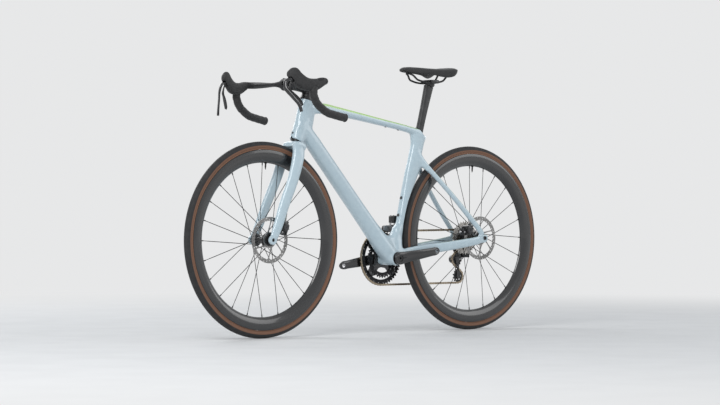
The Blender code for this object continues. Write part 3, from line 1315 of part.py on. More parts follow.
def make_saddle():
    """Cushion, base, rails and the clamp that holds the rails on the post's head."""
    cushion = [saddle_section(*station) for station in SADDLE]
    add_piece("saddle_cushion", loft(cushion), "leather", SADDLE_PIVOT)
    shell = [shell_section(x, width, skirt, under) for x, width, top, skirt, under in SADDLE[1:-1]]
    shell = add_piece("saddle_shell", loft(shell), "carbon", SADDLE_PIVOT)
    side = [
        (-0.3700, 0.0290, 0.9490),
        (-0.3560, 0.0250, 0.9330),
        (-0.3400, RAIL_Y, 0.9170),
        (-0.3280, RAIL_Y, RAIL_Z),
        (-0.2300, RAIL_Y, RAIL_Z),
        (-0.2150, 0.0200, 0.9180),
        (-0.1980, 0.0130, 0.9340),
        (-0.1850, 0.0060, 0.9395),
    ]
    path = [(x, y, z) for x, y, z in side] + [(x, -y, z) for x, y, z in side[::-1]]
    stations = [(x, y, z, RAIL_RADIUS, RAIL_RADIUS) for x, y, z in path]
    add_piece("saddle_rails", swept(stations, Z_AXIS, 6), "carbon", SADDLE_PIVOT)
    cut(shell, channel(stations, Z_AXIS, 6))
    low = (SADDLE_PIVOT.x - 0.0190, -0.0300, RAIL_Z - 0.0070)
    high = (SADDLE_PIVOT.x + 0.0190, 0.0300, RAIL_Z + 0.0060)
    piece = add_piece("saddle_clamp", box(low, high), "anodised", SADDLE_PIVOT)
    for y in (RAIL_Y, -RAIL_Y):
        groove = Vector((SADDLE_PIVOT.x, y, RAIL_Z))
        cut(piece, cylinder(groove, X_AXIS, RAIL_RADIUS + 2.0 * GAP, -0.03, 0.03, 8))
    slot_low = (SADDLE_PIVOT.x - 0.03, -0.0150, RAIL_Z - 0.010)
    slot_high = (SADDLE_PIVOT.x + 0.03, 0.0150, RAIL_Z + 0.0030)
    cut(piece, box(slot_low, slot_high))


def make_seatpost():
    stations = []
    widening = ((POST_BOTTOM_Z, POST_DEPTH), (0.790, POST_DEPTH), (0.850, 0.0168), (POST_TOP_Z, 0.0195))
    for z, depth in widening:
        point = seat_point(z)
        stations.append((point.x, 0.0, z, depth, POST_WIDTH))
    post = add_piece("seatpost", swept(stations, X_AXIS, 12, 2.8), "carbon", seat_point(POST_TOP_Z))
    join(post, cylinder(SADDLE_PIVOT, Y_AXIS, 0.0110, -0.0145, 0.0145, 16))


def build():
    clear_scene()
    make_main_frame()
    make_stays()
    make_derailleur_hanger()
    make_rear_axle()
    make_frame_fittings()
    make_fork()
    make_front_axle()
    make_stem()
    make_handlebar()
    make_levers()
    make_wheels()
    make_cassette()
    make_cranks()
    make_chain()
    make_pulleys()
    make_rear_derailleur()
    make_front_derailleur()
    make_brakes()
    make_saddle()
    make_seatpost()


build()
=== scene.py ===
"""A road bike with drop bars, deep rims and disc brakes, put together piece by piece."""

import math

import bmesh
import bpy
from mathutils import Matrix, Vector


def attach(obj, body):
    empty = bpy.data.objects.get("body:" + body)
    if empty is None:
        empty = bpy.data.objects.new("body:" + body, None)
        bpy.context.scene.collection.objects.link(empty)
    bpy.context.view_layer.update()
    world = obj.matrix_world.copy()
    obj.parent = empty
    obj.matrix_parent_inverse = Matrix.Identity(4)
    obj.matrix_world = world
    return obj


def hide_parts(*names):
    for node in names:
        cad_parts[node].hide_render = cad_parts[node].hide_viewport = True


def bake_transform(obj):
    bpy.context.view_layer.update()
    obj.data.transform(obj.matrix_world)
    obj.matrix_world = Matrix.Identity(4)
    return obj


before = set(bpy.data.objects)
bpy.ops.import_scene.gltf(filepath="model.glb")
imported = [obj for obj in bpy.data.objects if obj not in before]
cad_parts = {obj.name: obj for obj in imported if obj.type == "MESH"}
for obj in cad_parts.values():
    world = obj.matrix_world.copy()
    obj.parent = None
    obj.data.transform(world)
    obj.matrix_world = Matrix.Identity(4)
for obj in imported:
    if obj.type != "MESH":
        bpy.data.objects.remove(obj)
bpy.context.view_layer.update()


# The frame
# One hollow shell of carbon fibre, laid up in moulds so that the tubes run into each other in soft
# fillets. It is filled, sanded and sprayed pale blue with a lime mist along the top tube, under a
# thick clear coat. The seatstays and chainstays end in dropouts that the rear axle passes through.

REAR_AXLE = Vector((-0.5, 0.0, 0.34))
AXLE_BORE = 0.0063
BOTTOM_BRACKET = Vector((-0.097, 0.0, 0.2695))
HEAD_UP = Vector((-0.292372, 0.0, 0.956305))
HEAD_FORWARD = Vector((0.956305, 0.0, 0.292372))
SEAT_UP = Vector((-0.275637, 0.0, 0.961262))
X_AXIS = Vector((1.0, 0.0, 0.0))
Y_AXIS = Vector((0.0, 1.0, 0.0))
Z_AXIS = Vector((0.0, 0.0, 1.0))

HEAD_TUBE = (
    (0.0, -0.0005, 0.0250, 0.0238),
    (0.25, -0.0085, 0.0315, 0.0225),
    (0.45, -0.0150, 0.0375, 0.0215),
    (0.65, -0.0150, 0.0375, 0.0212),
    (0.85, -0.0080, 0.0310, 0.0225),
    (1.04, -0.0010, 0.0245, 0.0236),
)
DOWN_TUBE = (
    (0.338, 0.0, 0.7500, 0.0240, 0.0215),
    (0.300, 0.0, 0.7110, 0.0270, 0.0225),
    (0.240, 0.0, 0.6445, 0.0275, 0.0240),
    (0.143, 0.0, 0.5375, 0.0275, 0.0250),
    (0.040, 0.0, 0.4240, 0.0280, 0.0260),
    (-0.020, 0.0, 0.3580, 0.0290, 0.0290),
    (-0.060, 0.0, 0.3140, 0.0300, 0.0340),
    (-0.092, 0.0, 0.2790, 0.0270, 0.0380),
)
TOP_TUBE = (
    (0.306, 0.0, 0.7985, 0.0235, 0.0200),
    (0.262, 0.0, 0.8010, 0.0205, 0.0195),
    (0.221, 0.0, 0.8005, 0.0188, 0.0190),
    (0.170, 0.0, 0.7942, 0.0168, 0.0185),
    (0.080, 0.0, 0.7810, 0.0147, 0.0178),
    (-0.040, 0.0, 0.7615, 0.0130, 0.0170),
    (-0.160, 0.0, 0.7415, 0.0124, 0.0165),
    (-0.205, 0.0, 0.7325, 0.0135, 0.0165),
    (-0.236, 0.0, 0.7230, 0.0160, 0.0160),
)
SEAT_TUBE = (
    (0.2780, 0.0, 0.0260, 0.0360),
    (0.3100, 0.0, 0.0240, 0.0300),
    (0.3450, 0.0, 0.0190, 0.0210),
    (0.3850, 0.0, 0.0160, 0.0170),
    (0.4300, 0.0, 0.0165, 0.0160),
    (0.5080, 0.0, 0.0205, 0.0158),
    (0.5700, -0.0040, 0.0270, 0.0160),
    (0.6150, -0.0085, 0.0315, 0.0165),
    (0.6500, -0.0035, 0.0280, 0.0165),
    (0.6850, -0.0035, 0.0295, 0.0165),
    (0.7100, 0.0010, 0.0350, 0.0165),
    (0.7360, 0.0030, 0.0380, 0.0165),
)
SEAT_STAY = (
    (-0.2220, 0.0110, 0.6420, 0.0180, 0.0085),
    (-0.2500, 0.0180, 0.6100, 0.0150, 0.0085),
    (-0.2700, 0.0270, 0.5890, 0.0102, 0.0087),
    (-0.3050, 0.0400, 0.5520, 0.0088, 0.0083),
    (-0.3700, 0.0570, 0.4838, 0.0090, 0.0078),
    (-0.4400, 0.0700, 0.4100, 0.0099, 0.0068),
    (-0.4780, 0.0750, 0.3700, 0.0104, 0.0055),
    (-0.4920, 0.0760, 0.3525, 0.0104, 0.0050),
)
CHAIN_STAY = (
    (-0.1000, 0.0260, 0.2760, 0.0200, 0.0120),
    (-0.1450, 0.0290, 0.2850, 0.0200, 0.0082),
    (-0.1900, 0.0320, 0.2930, 0.0190, 0.0078),
    (-0.2500, 0.0420, 0.3010, 0.0180, 0.0078),
    (-0.3300, 0.0560, 0.3110, 0.0170, 0.0078),
    (-0.4100, 0.0690, 0.3220, 0.0157, 0.0064),
    (-0.4600, 0.0757, 0.3300, 0.0147, 0.0050),
    (-0.4900, 0.0757, 0.3360, 0.0142, 0.0050),
)


def head_point(z):
    """A point of the steering axis at that height."""
    return Vector((0.452947, 0.0, 0.34)) + HEAD_UP * ((z - 0.34) / HEAD_UP.z)


def seat_point(z):
    """A point of the seat tube's axis at that height."""
    return Vector((-0.244, 0.0, 0.737)) + SEAT_UP * ((z - 0.737) / SEAT_UP.z)


def mirrored(stations, side):
    """The left side's stations, or the right side's where side is -1."""
    return [(s[0], s[1] * side) + tuple(s[2:]) for s in stations]


def flowing(stations, steps):
    """Finer stations on the smooth curve through the given ones."""
    knots = [Vector(station) for station in stations]
    spans = [(b - a).length for a, b in zip(knots, knots[1:])]
    slopes = [(b - a) / span for a, b, span in zip(knots, knots[1:], spans)]
    tangents = [slopes[0]]
    for before, after, h0, h1 in zip(slopes, slopes[1:], spans, spans[1:]):
        tangents.append((before * h1 + after * h0) / (h0 + h1))
    tangents.append(slopes[-1])
    fine = []
    for i, span in enumerate(spans):
        for step in range(steps):
            t = step / steps
            point = knots[i] * (2 * t**3 - 3 * t**2 + 1) + knots[i + 1] * (3 * t**2 - 2 * t**3)
            point += tangents[i] * (span * (t**3 - 2 * t**2 + t))
            fine.append(point + tangents[i + 1] * (span * (t**3 - t**2)))
    fine.append(knots[-1])
    return fine


def oval(centre, normal, across, depth, width, sides, power=2.0):
    """A ring of points, rounder or squarer by its power."""
    ring = []
    for i in range(sides):
        angle = math.tau * (i + 0.5) / sides
        c, s = math.cos(angle), math.sin(angle)
        u = math.copysign(abs(c) ** (2.0 / power), c) * depth
        v = math.copysign(abs(s) ** (2.0 / power), s) * width
        ring.append(centre + normal * u + across * v)
    return ring


def ovals_along(stations, normal, sides, power=2.0):
    """Ovals square to a path, each as deep and wide as its station says."""
    rings = []
    for i, station in enumerate(stations):
        before = stations[max(i - 1, 0)]
        after = stations[min(i + 1, len(stations) - 1)]
        along = (Vector(after[:3]) - Vector(before[:3])).normalized()
        normal = (normal - along * normal.dot(along)).normalized()
        rings.append(oval(Vector(station[:3]), normal, along.cross(normal), station[3], station[4], sides,
                          power))
    return rings


def deselect():
    """Leaves edit mode with nothing selected."""
    if bpy.context.mode != "OBJECT":
        bpy.ops.object.mode_set(mode="OBJECT")
    bpy.ops.object.select_all(action="DESELECT")


def pick(piece):
    """Makes a piece the only selected one."""
    deselect()
    piece.select_set(True)
    bpy.context.view_layer.objects.active = piece


def drawn(name, rings, hollow=False):
    """A circle drawn out ring by ring: capped at its ends, or bridged round into itself."""
    deselect()
    bpy.ops.mesh.primitive_circle_add(vertices=len(rings[0]), fill_type="NOTHING" if hollow else "NGON")
    piece = bpy.context.object
    piece.name = name
    bpy.ops.object.mode_set(mode="EDIT")
    for number, ring in enumerate(rings):
        if number:
            bpy.ops.mesh.extrude_region_move()
        mesh = bmesh.from_edit_mesh(piece.data)
        mesh.verts.ensure_lookup_table()
        for vertex, point in zip(mesh.verts[-len(ring):], ring):
            vertex.co = point
    if hollow:
        mesh.edges.ensure_lookup_table()
        loose = [edge for edge in mesh.edges if len(edge.link_faces) == 1]
        bpy.ops.mesh.select_all(action="DESELECT")
        bpy.ops.mesh.select_mode(type="EDGE")
        for edge in loose:
            edge.select = True
        bpy.ops.mesh.bridge_edge_loops()
    bpy.ops.mesh.select_all(action="SELECT")
    bpy.ops.mesh.normals_make_consistent(inside=False)
    bpy.ops.mesh.select_mode(type="VERT")
    bpy.ops.object.mode_set(mode="OBJECT")
    return piece


def tube(name, stations, normal, sides=20, power=2.0, steps=5):
    """A smooth tube through its stations."""
    return drawn(name, ovals_along(flowing(stations, steps), normal, sides, power))


def turned(name, profile, centre, axis, sides=32, hollow=False):
    """A piece turned on a lathe: rings of (radius, place along the axis)."""
    across = axis.orthogonal().normalized()
    other = axis.cross(across)
    rings = [oval(centre + axis * place, across, other, radius, radius, sides) for radius, place in profile]
    return drawn(name, rings, hollow)


def rod(name, start, end, radius, sides=16):
    """A plain round cutter or core between two points."""
    axis = (end - start).normalized()
    return turned(name, ((radius, 0.0), (radius, (end - start).length)), start, axis, sides)


def crossing(name, centre, low, high, radius, sides=16):
    """A plain round cutter or core across the bike, between two depths from its centre."""
    return rod(name, centre + Y_AXIS * low, centre + Y_AXIS * high, radius, sides)


def plate(name, outline, low, high, bevel=0.0, segments=1):
    """A flat plate of (x, z) points between two depths across the bike, its edges eased."""
    rings = [[Vector((x, y, z)) for x, z in outline] for y in (low, high)]
    piece = drawn(name, rings)
    if bevel:
        ease(piece, bevel, segments)
    return piece


def standing(centre, ahead, left, up):
    """The matrix that stands a piece at a place, with its axes along three directions."""
    return Matrix.Translation(centre) @ Matrix((ahead, left, up)).transposed().to_4x4()


def block(name, centre, size, along=X_AXIS, up=Z_AXIS):
    """A square block along the bike, or turned to two directions."""
    deselect()
    side = up.cross(along)
    bpy.ops.mesh.primitive_cube_add(size=1.0, location=centre)
    piece = bpy.context.object
    piece.name = name
    piece.data.transform(Matrix.Diagonal((*size, 1.0)))
    piece.data.transform(standing(centre, along, side, up))
    piece.location = (0.0, 0.0, 0.0)
    return piece


def apply_modifier(piece, kind, **settings):
    """Adds one modifier and applies it."""
    pick(piece)
    modifier = piece.modifiers.new(kind.title(), kind)
    for key, value in settings.items():
        setattr(modifier, key, value)
    bpy.ops.object.modifier_apply(modifier=modifier.name)
    return piece


def ease(piece, width, segments=2, angle=40.0):
    """Rounds the sharp edges of a piece."""
    return apply_modifier(piece, "BEVEL", width=width, segments=segments, limit_method="ANGLE",
                          angle_limit=math.radians(angle), use_clamp_overlap=True)


def cut(piece, *tools):
    """Takes the tools' shapes out of a piece."""
    for tool in tools:
        apply_modifier(piece, "BOOLEAN", object=tool, operation="DIFFERENCE", solver="EXACT")
        bpy.data.objects.remove(tool)
    return piece


def united(name, *parts):
    """Several pieces as one object, each keeping its own skin."""
    pick(parts[0])
    for part in parts:
        part.select_set(True)
    if len(parts) > 1:
        bpy.ops.object.join()
    parts[0].name = name
    return parts[0]


def fused(name, voxel, passes, *parts):
    """Several closed pieces grown into one skin, with the seams between them filled."""
    piece = united(name, *parts)
    piece.data.remesh_voxel_size = voxel
    bpy.ops.object.voxel_remesh()
    bpy.ops.object.mode_set(mode="EDIT")
    bpy.ops.mesh.select_all(action="SELECT")
    bpy.ops.mesh.vertices_smooth(factor=0.5, repeat=passes)
    bpy.ops.object.mode_set(mode="OBJECT")
    return piece


def soften(piece, places, passes):
    """Smooths the skin near the given (centre, reach) places into a fillet."""
    pick(piece)
    bpy.ops.object.mode_set(mode="EDIT")
    for centre, reach in places:
        mesh = bmesh.from_edit_mesh(piece.data)
        for vertex in mesh.verts:
            vertex.select = (vertex.co - Vector(centre)).length < reach
        mesh.select_flush(True)
        bpy.ops.mesh.vertices_smooth(factor=0.5, repeat=passes)
    bpy.ops.object.mode_set(mode="OBJECT")
    return piece


def settled(piece, material, body, finish, *replaced, angle=35.0):
    """Gives a finished piece its material and its body, and hides the solids that it stands for."""
    pick(piece)
    bpy.ops.object.shade_smooth_by_angle(angle=math.radians(angle))
    piece.data.materials.clear()
    piece.data.materials.append(material)
    if body:
        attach(piece, body)
    if replaced:
        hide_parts(*replaced)
    deselect()
    return piece


def feed(tree, value, socket):
    """Sets a socket to a value, or links another node's output to it."""
    if isinstance(value, bpy.types.NodeSocket):
        tree.links.new(value, socket)
    else:
        socket.default_value = value


def added(tree, kind, **inputs):
    """A new shader node with its inputs fed by name."""
    node = tree.nodes.new("ShaderNode" + kind)
    for name, value in inputs.items():
        feed(tree, value, node.inputs[name.replace("_", " ")])
    return node


def calc(tree, operation, *values):
    """A math node on numbers or other nodes' outputs."""
    node = added(tree, "Math")
    node.operation = operation
    for socket, value in zip(node.inputs, values):
        feed(tree, value, socket)
    return node.outputs[0]


def times(tree, product, *factors):
    """The product of numbers or other nodes' outputs."""
    for factor in factors:
        product = calc(tree, "MULTIPLY", product, factor)
    return product


def fade(tree, value, low, high):
    """Runs smoothly from 0 at low to 1 at high, also where high is the smaller one."""
    node = added(tree, "MapRange", Value=value, From_Min=low, From_Max=high)
    node.interpolation_type = "SMOOTHSTEP"
    return node.outputs[0]


def band(tree, value, low, high, soft):
    """1 between low and high, fading over soft at each side."""
    return times(tree, fade(tree, value, low - soft, low + soft), fade(tree, value, high + soft, high - soft))


def finish(name, dark, light, gloss, grain, depth, metallic=0.0, **extra):
    """A surface whose tone and gloss drift over the piece and whose grain stands a little proud.
    gloss is the lowest and highest roughness, grain the pattern's count to the metre, depth its height."""
    material = bpy.data.materials.new(name)
    material.use_nodes = True
    tree = material.node_tree
    place = added(tree, "TexCoord").outputs["Object"]
    drift = added(tree, "TexNoise", Vector=place, Scale=grain / 12.0, Detail=4.0)
    fine = added(tree, "TexNoise", Vector=place, Scale=grain, Detail=3.0).outputs["Fac"]
    tone = added(tree, "ValToRGB", Fac=drift.outputs["Fac"])
    for element, position, colour in zip(tone.color_ramp.elements, (0.35, 0.65), (dark, light)):
        element.position = position
        element.color = (*colour, 1.0)
    rough = added(tree, "MapRange", Value=fine, From_Min=0.3, From_Max=0.7, To_Min=gloss[0], To_Max=gloss[1])
    bump = added(tree, "Bump", Strength=1.0, Distance=depth, Height=fine)
    bump.name = "Bump"
    surface = {"Base_Color": tone.outputs["Color"], "Roughness": rough.outputs[0],
               "Normal": bump.outputs["Normal"], "Metallic": metallic, **extra}
    for socket, value in surface.items():
        feed(tree, value, tree.nodes["Principled BSDF"].inputs[socket.replace("_", " ")])
    return material


def overlay(material, mask, colour):
    """Lays a second colour over the first where the mask is 1."""
    tree = material.node_tree
    socket = tree.nodes["Principled BSDF"].inputs["Base Color"]
    mix = tree.nodes.new("ShaderNodeMix")
    mix.data_type = "RGBA"
    tree.links.new(mask, mix.inputs[0])
    tree.links.new(socket.links[0].from_socket, mix.inputs[6])
    mix.inputs[7].default_value = (*colour, 1.0)
    tree.links.new(mix.outputs[2], socket)
    return material


def object_axes(tree):
    """The x, y and z of a surface point."""
    return added(tree, "SeparateXYZ", Vector=added(tree, "TexCoord").outputs["Object"]).outputs


PALE_BLUE = (0.470, 0.595, 0.665)
PALE_BLUE_LIT = (0.505, 0.630, 0.695)
LIME = (0.470, 0.760, 0.200)

frame_paint = finish("frame_paint", PALE_BLUE, PALE_BLUE_LIT, (0.26, 0.34), 900.0, 0.000004, Coat_Weight=1.0,
                     Coat_Roughness=0.04)
tree = frame_paint.node_tree
x, y, z = object_axes(tree)
facing = added(tree, "SeparateXYZ", Vector=added(tree, "NewGeometry").outputs["Normal"])
tube_line = calc(tree, "SUBTRACT", z, calc(tree, "MULTIPLY_ADD", x, 0.150, 0.7675))
lime_mist = times(tree, fade(tree, facing.outputs["Z"], 0.05, 0.60), fade(tree, tube_line, 0.0, 0.009),
                  fade(tree, x, -0.245, -0.215), fade(tree, x, 0.275, 0.215))
backward = calc(tree, "MULTIPLY_ADD", facing.outputs["X"], -0.77, times(tree, facing.outputs["Z"], 0.64))
stay_mist = times(tree, fade(tree, backward, 0.25, 0.85), fade(tree, x, -0.270, -0.300))
blade_mist = times(tree, fade(tree, facing.outputs["X"], -0.35, -0.90), band(tree, z, 0.40, 0.60, 0.04),
                   fade(tree, x, 0.330, 0.345))
edges_mist = calc(tree, "MAXIMUM", stay_mist, blade_mist)
lime_mist = calc(tree, "MAXIMUM", lime_mist, times(tree, edges_mist, 0.55))
overlay(frame_paint, lime_mist, LIME)

HEAD_FOOT, HEAD_TOP = 0.684, 0.827
head_low = head_point(HEAD_FOOT)
head_high = head_point(HEAD_TOP)
head_stations = []
for share, shift, depth, width in HEAD_TUBE:
    point = head_low.lerp(head_high, share) + HEAD_FORWARD * shift
    head_stations.append((*point, depth, width))
seat_stations = [(*(seat_point(z) + X_AXIS * shift), depth, width) for z, shift, depth, width in SEAT_TUBE]
skins = [
    tube("head", head_stations, HEAD_FORWARD, 32, 2.2),
    tube("down", DOWN_TUBE, X_AXIS, 28, 2.5),
    tube("top", TOP_TUBE, Z_AXIS, 28, 2.5),
    tube("seat", seat_stations, X_AXIS, 28, 2.5),
    crossing("shell", BOTTOM_BRACKET, -0.043, 0.043, 0.0252, 40),
]
gusset = ((-0.030, 0.3930), (-0.052, 0.3690), (-0.072, 0.3540), (-0.0900, 0.3490), (-0.1030, 0.3540),
          (-0.1120, 0.3690), (-0.1200, 0.3930), (-0.1450, 0.3800), (-0.1350, 0.3100), (-0.0900, 0.2700),
          (-0.0500, 0.3000), (-0.0200, 0.3500))
skins.append(plate("gusset", gusset, -0.0195, 0.0195, 0.0085, 3))
dropout = [(REAR_AXLE.x + 0.0168 * math.cos(math.radians(a)),
            REAR_AXLE.z + 0.0168 * math.sin(math.radians(a))) for a in range(130, 351, 10)]
dropout += [(REAR_AXLE.x + 0.030, REAR_AXLE.z - 0.0062), (REAR_AXLE.x + 0.026, REAR_AXLE.z + 0.0122)]
for side in (1.0, -1.0):
    skins.append(tube("seatstay", mirrored(SEAT_STAY, side), Z_AXIS, 24, 2.4))
    skins.append(tube("chainstay", mirrored(CHAIN_STAY, side), Z_AXIS, 24, 2.4))
    low, high = sorted((side * 0.0713, side * 0.0803))
    skins.append(plate("dropout", dropout, low, high))
frame_shell = fused("frame_shell", 0.0022, 3, *skins)
junctions = (
    ((-0.080, 0.0, 0.325), 0.080),
    ((-0.110, 0.0, 0.360), 0.060),
    ((0.300, 0.0, 0.735), 0.060),
    ((0.285, 0.0, 0.790), 0.045),
    ((-0.205, 0.0, 0.700), 0.060),
    ((-0.235, 0.0, 0.640), 0.060),
)
soften(frame_shell, junctions, 34)
soften(frame_shell, (((-0.118, 0.0, 0.378), 0.052),), 44)

clearance = crossing("clearance", REAR_AXLE, -0.020, 0.020, 0.3535, 128)
head_length = (head_high - head_low).length
head_profile = (
    (0.0330, -0.030), (0.0330, 0.0), (0.0212, 0.0), (0.0212, 0.0076), (0.0165, 0.0076),
    (0.0165, head_length - 0.0076), (0.0212, head_length - 0.0076), (0.0212, head_length),
    (0.0360, head_length), (0.0360, head_length + 0.030),
)
head_bore = turned("head_bore", head_profile, head_low, HEAD_UP, 40)
shell_bore = crossing("shell_bore", BOTTOM_BRACKET, -0.06, 0.06, 0.0205, 40)
post_bore = tube("post_bore", [(*seat_point(z), 0.0145, 0.0115) for z in (0.545, 0.790)], X_AXIS, 32, 2.8, 1)
cut(frame_shell, united("bores", clearance, head_bore, shell_bore, post_bore))
slope_front = Vector((-0.2270, 0.0, 0.7425))
slope_rear = Vector((-0.2640, 0.0, 0.7030))
slope = (slope_rear - slope_front).normalized()
slope_up = Vector((slope.z, 0.0, -slope.x))
above = (slope_front + slope_rear) / 2.0 + slope_up * 0.0400 - slope * 0.0060
trims = [block("collar", above, (0.0620, 0.0800, 0.0800), slope, slope_up)]
inner_outline = [(REAR_AXLE.x + (px - REAR_AXLE.x) * 1.6, REAR_AXLE.z + (pz - REAR_AXLE.z) * 1.6) for px,
                 pz in dropout]
for side in (1.0, -1.0):
    low, high = sorted((side * 0.040, side * 0.0713))
    trims.append(plate("inside", inner_outline, low, high))
cut(frame_shell, united("trims", *trims))
holes = [crossing("hole", REAR_AXLE, a, a + 0.025, AXLE_BORE, 32) for a in (-0.090, 0.065)]
cut(frame_shell, united("holes", *holes))
settled(frame_shell, frame_paint, "frame", "paint", "main_frame", "seatstay_left", "seatstay_right",
        "chainstay_left", "chainstay_right", angle=50.0)


# Bottle bosses and plugs
# Aluminium rivet nuts bonded into the down tube and the seat tube, each closed by a low socket
# bolt until a bottle cage is wanted. Two small rubber plugs close ports at the front of the head
# tube, and two more sit under the top tube.


SEAT_FORWARD = Vector((0.961262, 0.0, 0.275637))


def bolt(name, centre, axis, radius, height, recess=0.55):
    """A round-headed socket bolt with its six-sided socket."""
    profile = ((radius, -0.0010), (radius, height * 0.55), (radius * 0.90, height * 0.88),
               (radius * 0.74, height))
    head = turned(name, profile, centre, axis, 24)
    socket = turned("socket", ((radius * 0.5, height * (1.0 - recess)), (radius * 0.5, height + 0.002)),
                    centre, axis, 6)
    return cut(head, socket)


def towards(way, direction):
    """A direction, or its opposite where that one points the given way."""
    return direction if direction.dot(way) > 0.0 else -direction


def surface_point(piece, start, direction):
    """Where a line from start first meets the piece."""
    found, point, normal, _ = piece.ray_cast(start, direction)
    return (point, normal) if found else (start, -direction)


bolt_steel = finish("bolt_steel", (0.10, 0.10, 0.105), (0.15, 0.15, 0.155), (0.30, 0.42), 1500.0, 0.000006,
                    1.0)
nut_alloy = finish("boss_alloy", (0.055, 0.056, 0.06), (0.085, 0.086, 0.09), (0.36, 0.5), 1800.0, 0.000006,
                   0.9)
boss_places = []
for z in (0.421, 0.421 + 0.064 * SEAT_UP.z):
    boss_places.append((seat_point(z) + SEAT_FORWARD * (0.0159 + (z - 0.421) * 0.055), SEAT_FORWARD))
down_along = (Vector(DOWN_TUBE[4][:3]) - Vector(DOWN_TUBE[3][:3])).normalized()
down_up = towards(Z_AXIS, down_along.cross(Y_AXIS))
down_middle = Vector(DOWN_TUBE[3][:3]) + down_along * 0.075
for shift in (-0.032, 0.032):
    boss_places.append((down_middle + down_along * shift + down_up * 0.0278, down_up))
nut_rings = []
boss_bolts = []
for centre, outward in boss_places:
    profile = ((0.0060, -0.0030), (0.0060, 0.0007), (0.0055, 0.0012), (0.0027, 0.0012), (0.0027, -0.0030))
    nut_rings.append(turned("nut", profile, centre, outward, 32, True))
    boss_bolts.append(bolt("boss_bolt", centre - outward * 0.0010, outward, 0.0025, 0.0019))
settled(united("bottle_bosses", *nut_rings), nut_alloy, "frame", "alloy")
settled(united("bottle_boss_bolts", *boss_bolts), bolt_steel, "frame", "steel")

plug_rubber = finish("plug_rubber", (0.012, 0.012, 0.013), (0.022, 0.022, 0.023), (0.55, 0.7), 1500.0,
                     0.00001)
plugs = []
for height in (0.7132, 0.6966):
    point, normal = surface_point(frame_shell, Vector((0.450, 0.0, height)), -X_AXIS)
    plugs.append(turned("plug", ((0.0036, -0.002), (0.0036, 0.0006), (0.0028, 0.0012), (0.0010, 0.0014)),
                        point, normal, 20))
for x_place in (-0.0749, -0.1368):
    point, normal = surface_point(frame_shell, Vector((x_place, 0.0, 0.700)), Z_AXIS)
    plugs.append(turned("plug", ((0.0038, -0.003), (0.0038, 0.0006), (0.0030, 0.0014), (0.0010, 0.0018)),
                        point, normal, 24))
settled(united("frame_plugs", *plugs), plug_rubber, "frame", "moulded_black")


# Bottom bracket and head bearings
# Two black anodised cups pressed into the shell carry the spindle's bearings, and two angular
# bearings sit in the ends of the head tube. Only thin lips of any of them show.

anodised = finish("black_anodised", (0.012, 0.012, 0.013), (0.020, 0.020, 0.021), (0.28, 0.42), 1400.0,
                  0.000005, 0.35, Coat_Weight=0.3, Coat_Roughness=0.2)
SIDES = ((1.0, "left"), (-1.0, "right"))
for side, word in SIDES:
    profile = ((0.0197, 0.032), (0.0197, 0.0433), (0.0235, 0.0433), (0.0238, 0.0438), (0.0238, 0.0445),
               (0.0232, 0.0449), (0.0158, 0.0449), (0.0154, 0.0444), (0.0154, 0.032))
    cup = turned("cup_" + word, profile, BOTTOM_BRACKET, Y_AXIS * side, 48, True)
    settled(cup, anodised, "frame", "anodised", "bottom_bracket_" + word)
bearing_steel = finish("bearing_steel", (0.42, 0.42, 0.43), (0.52, 0.52, 0.53), (0.22, 0.34), 1200.0,
                       0.000004, 1.0)
for z, way, word in ((HEAD_FOOT, 1.0, "lower"), (HEAD_TOP, -1.0, "upper")):
    profile = ((0.0209, 0.0004), (0.0209, 0.0073), (0.0205, 0.0076), (0.0156, 0.0076), (0.0152, 0.0073),
               (0.0152, 0.0004))
    ring = turned("bearing_" + word, profile, head_point(z), HEAD_UP * way, 48, True)
    settled(ring, anodised, "frame", "steel", "headset_bearing_" + word)


# Hanger and rear axle
# A forged alloy tab under the right dropout that carries the rear derailleur and bends before the
# frame does. The thru-axle is a black anodised tube, pushed in from the left and threaded into
# the hanger, with a flanged head and a hexagon socket.

outline = ((0.013, 0.008), (0.006, 0.0125), (-0.004, 0.0135), (-0.012, 0.010), (-0.0165, 0.002),
           (-0.0172, -0.012), (-0.0165, -0.030), (-0.0140, -0.0365), (-0.0090, -0.040), (-0.0020, -0.0405),
           (0.0020, -0.038), (0.0045, -0.031), (0.0060, -0.022), (0.0100, -0.0130), (0.0135, -0.0040))
hanger = plate("hanger", [(REAR_AXLE.x + px, REAR_AXLE.z + pz) for px, pz in outline], -0.0851, -0.0807,
               0.0007, 2)
cut(hanger, crossing("hole", REAR_AXLE, -0.1, 0.0, AXLE_BORE, 32))
settled(hanger, anodised, "frame", "anodised", "derailleur_hanger")
profile = ((0.0052, -0.0865), (0.0060, -0.0858), (0.0060, 0.0806), (0.0069, 0.0806), (0.0072, 0.0810),
           (0.0072, 0.0826), (0.0068, 0.0834), (0.0056, 0.0836))
rear_axle = turned("rear_axle", profile, REAR_AXLE, Y_AXIS, 40)
cut(rear_axle, turned("socket", ((0.0032, 0.0776), (0.0032, 0.09)), REAR_AXLE, Y_AXIS, 6))
settled(rear_axle, anodised, "frame", "anodised", "rear_thru_axle")


# The fork
# A carbon fork moulded in one piece: two deep blades that run up into a crown shaped to the foot
# of the head tube, and a tapering steerer that passes up through the bearings. It is painted as
# the frame is, with a breath of lime on the blades' trailing edges.

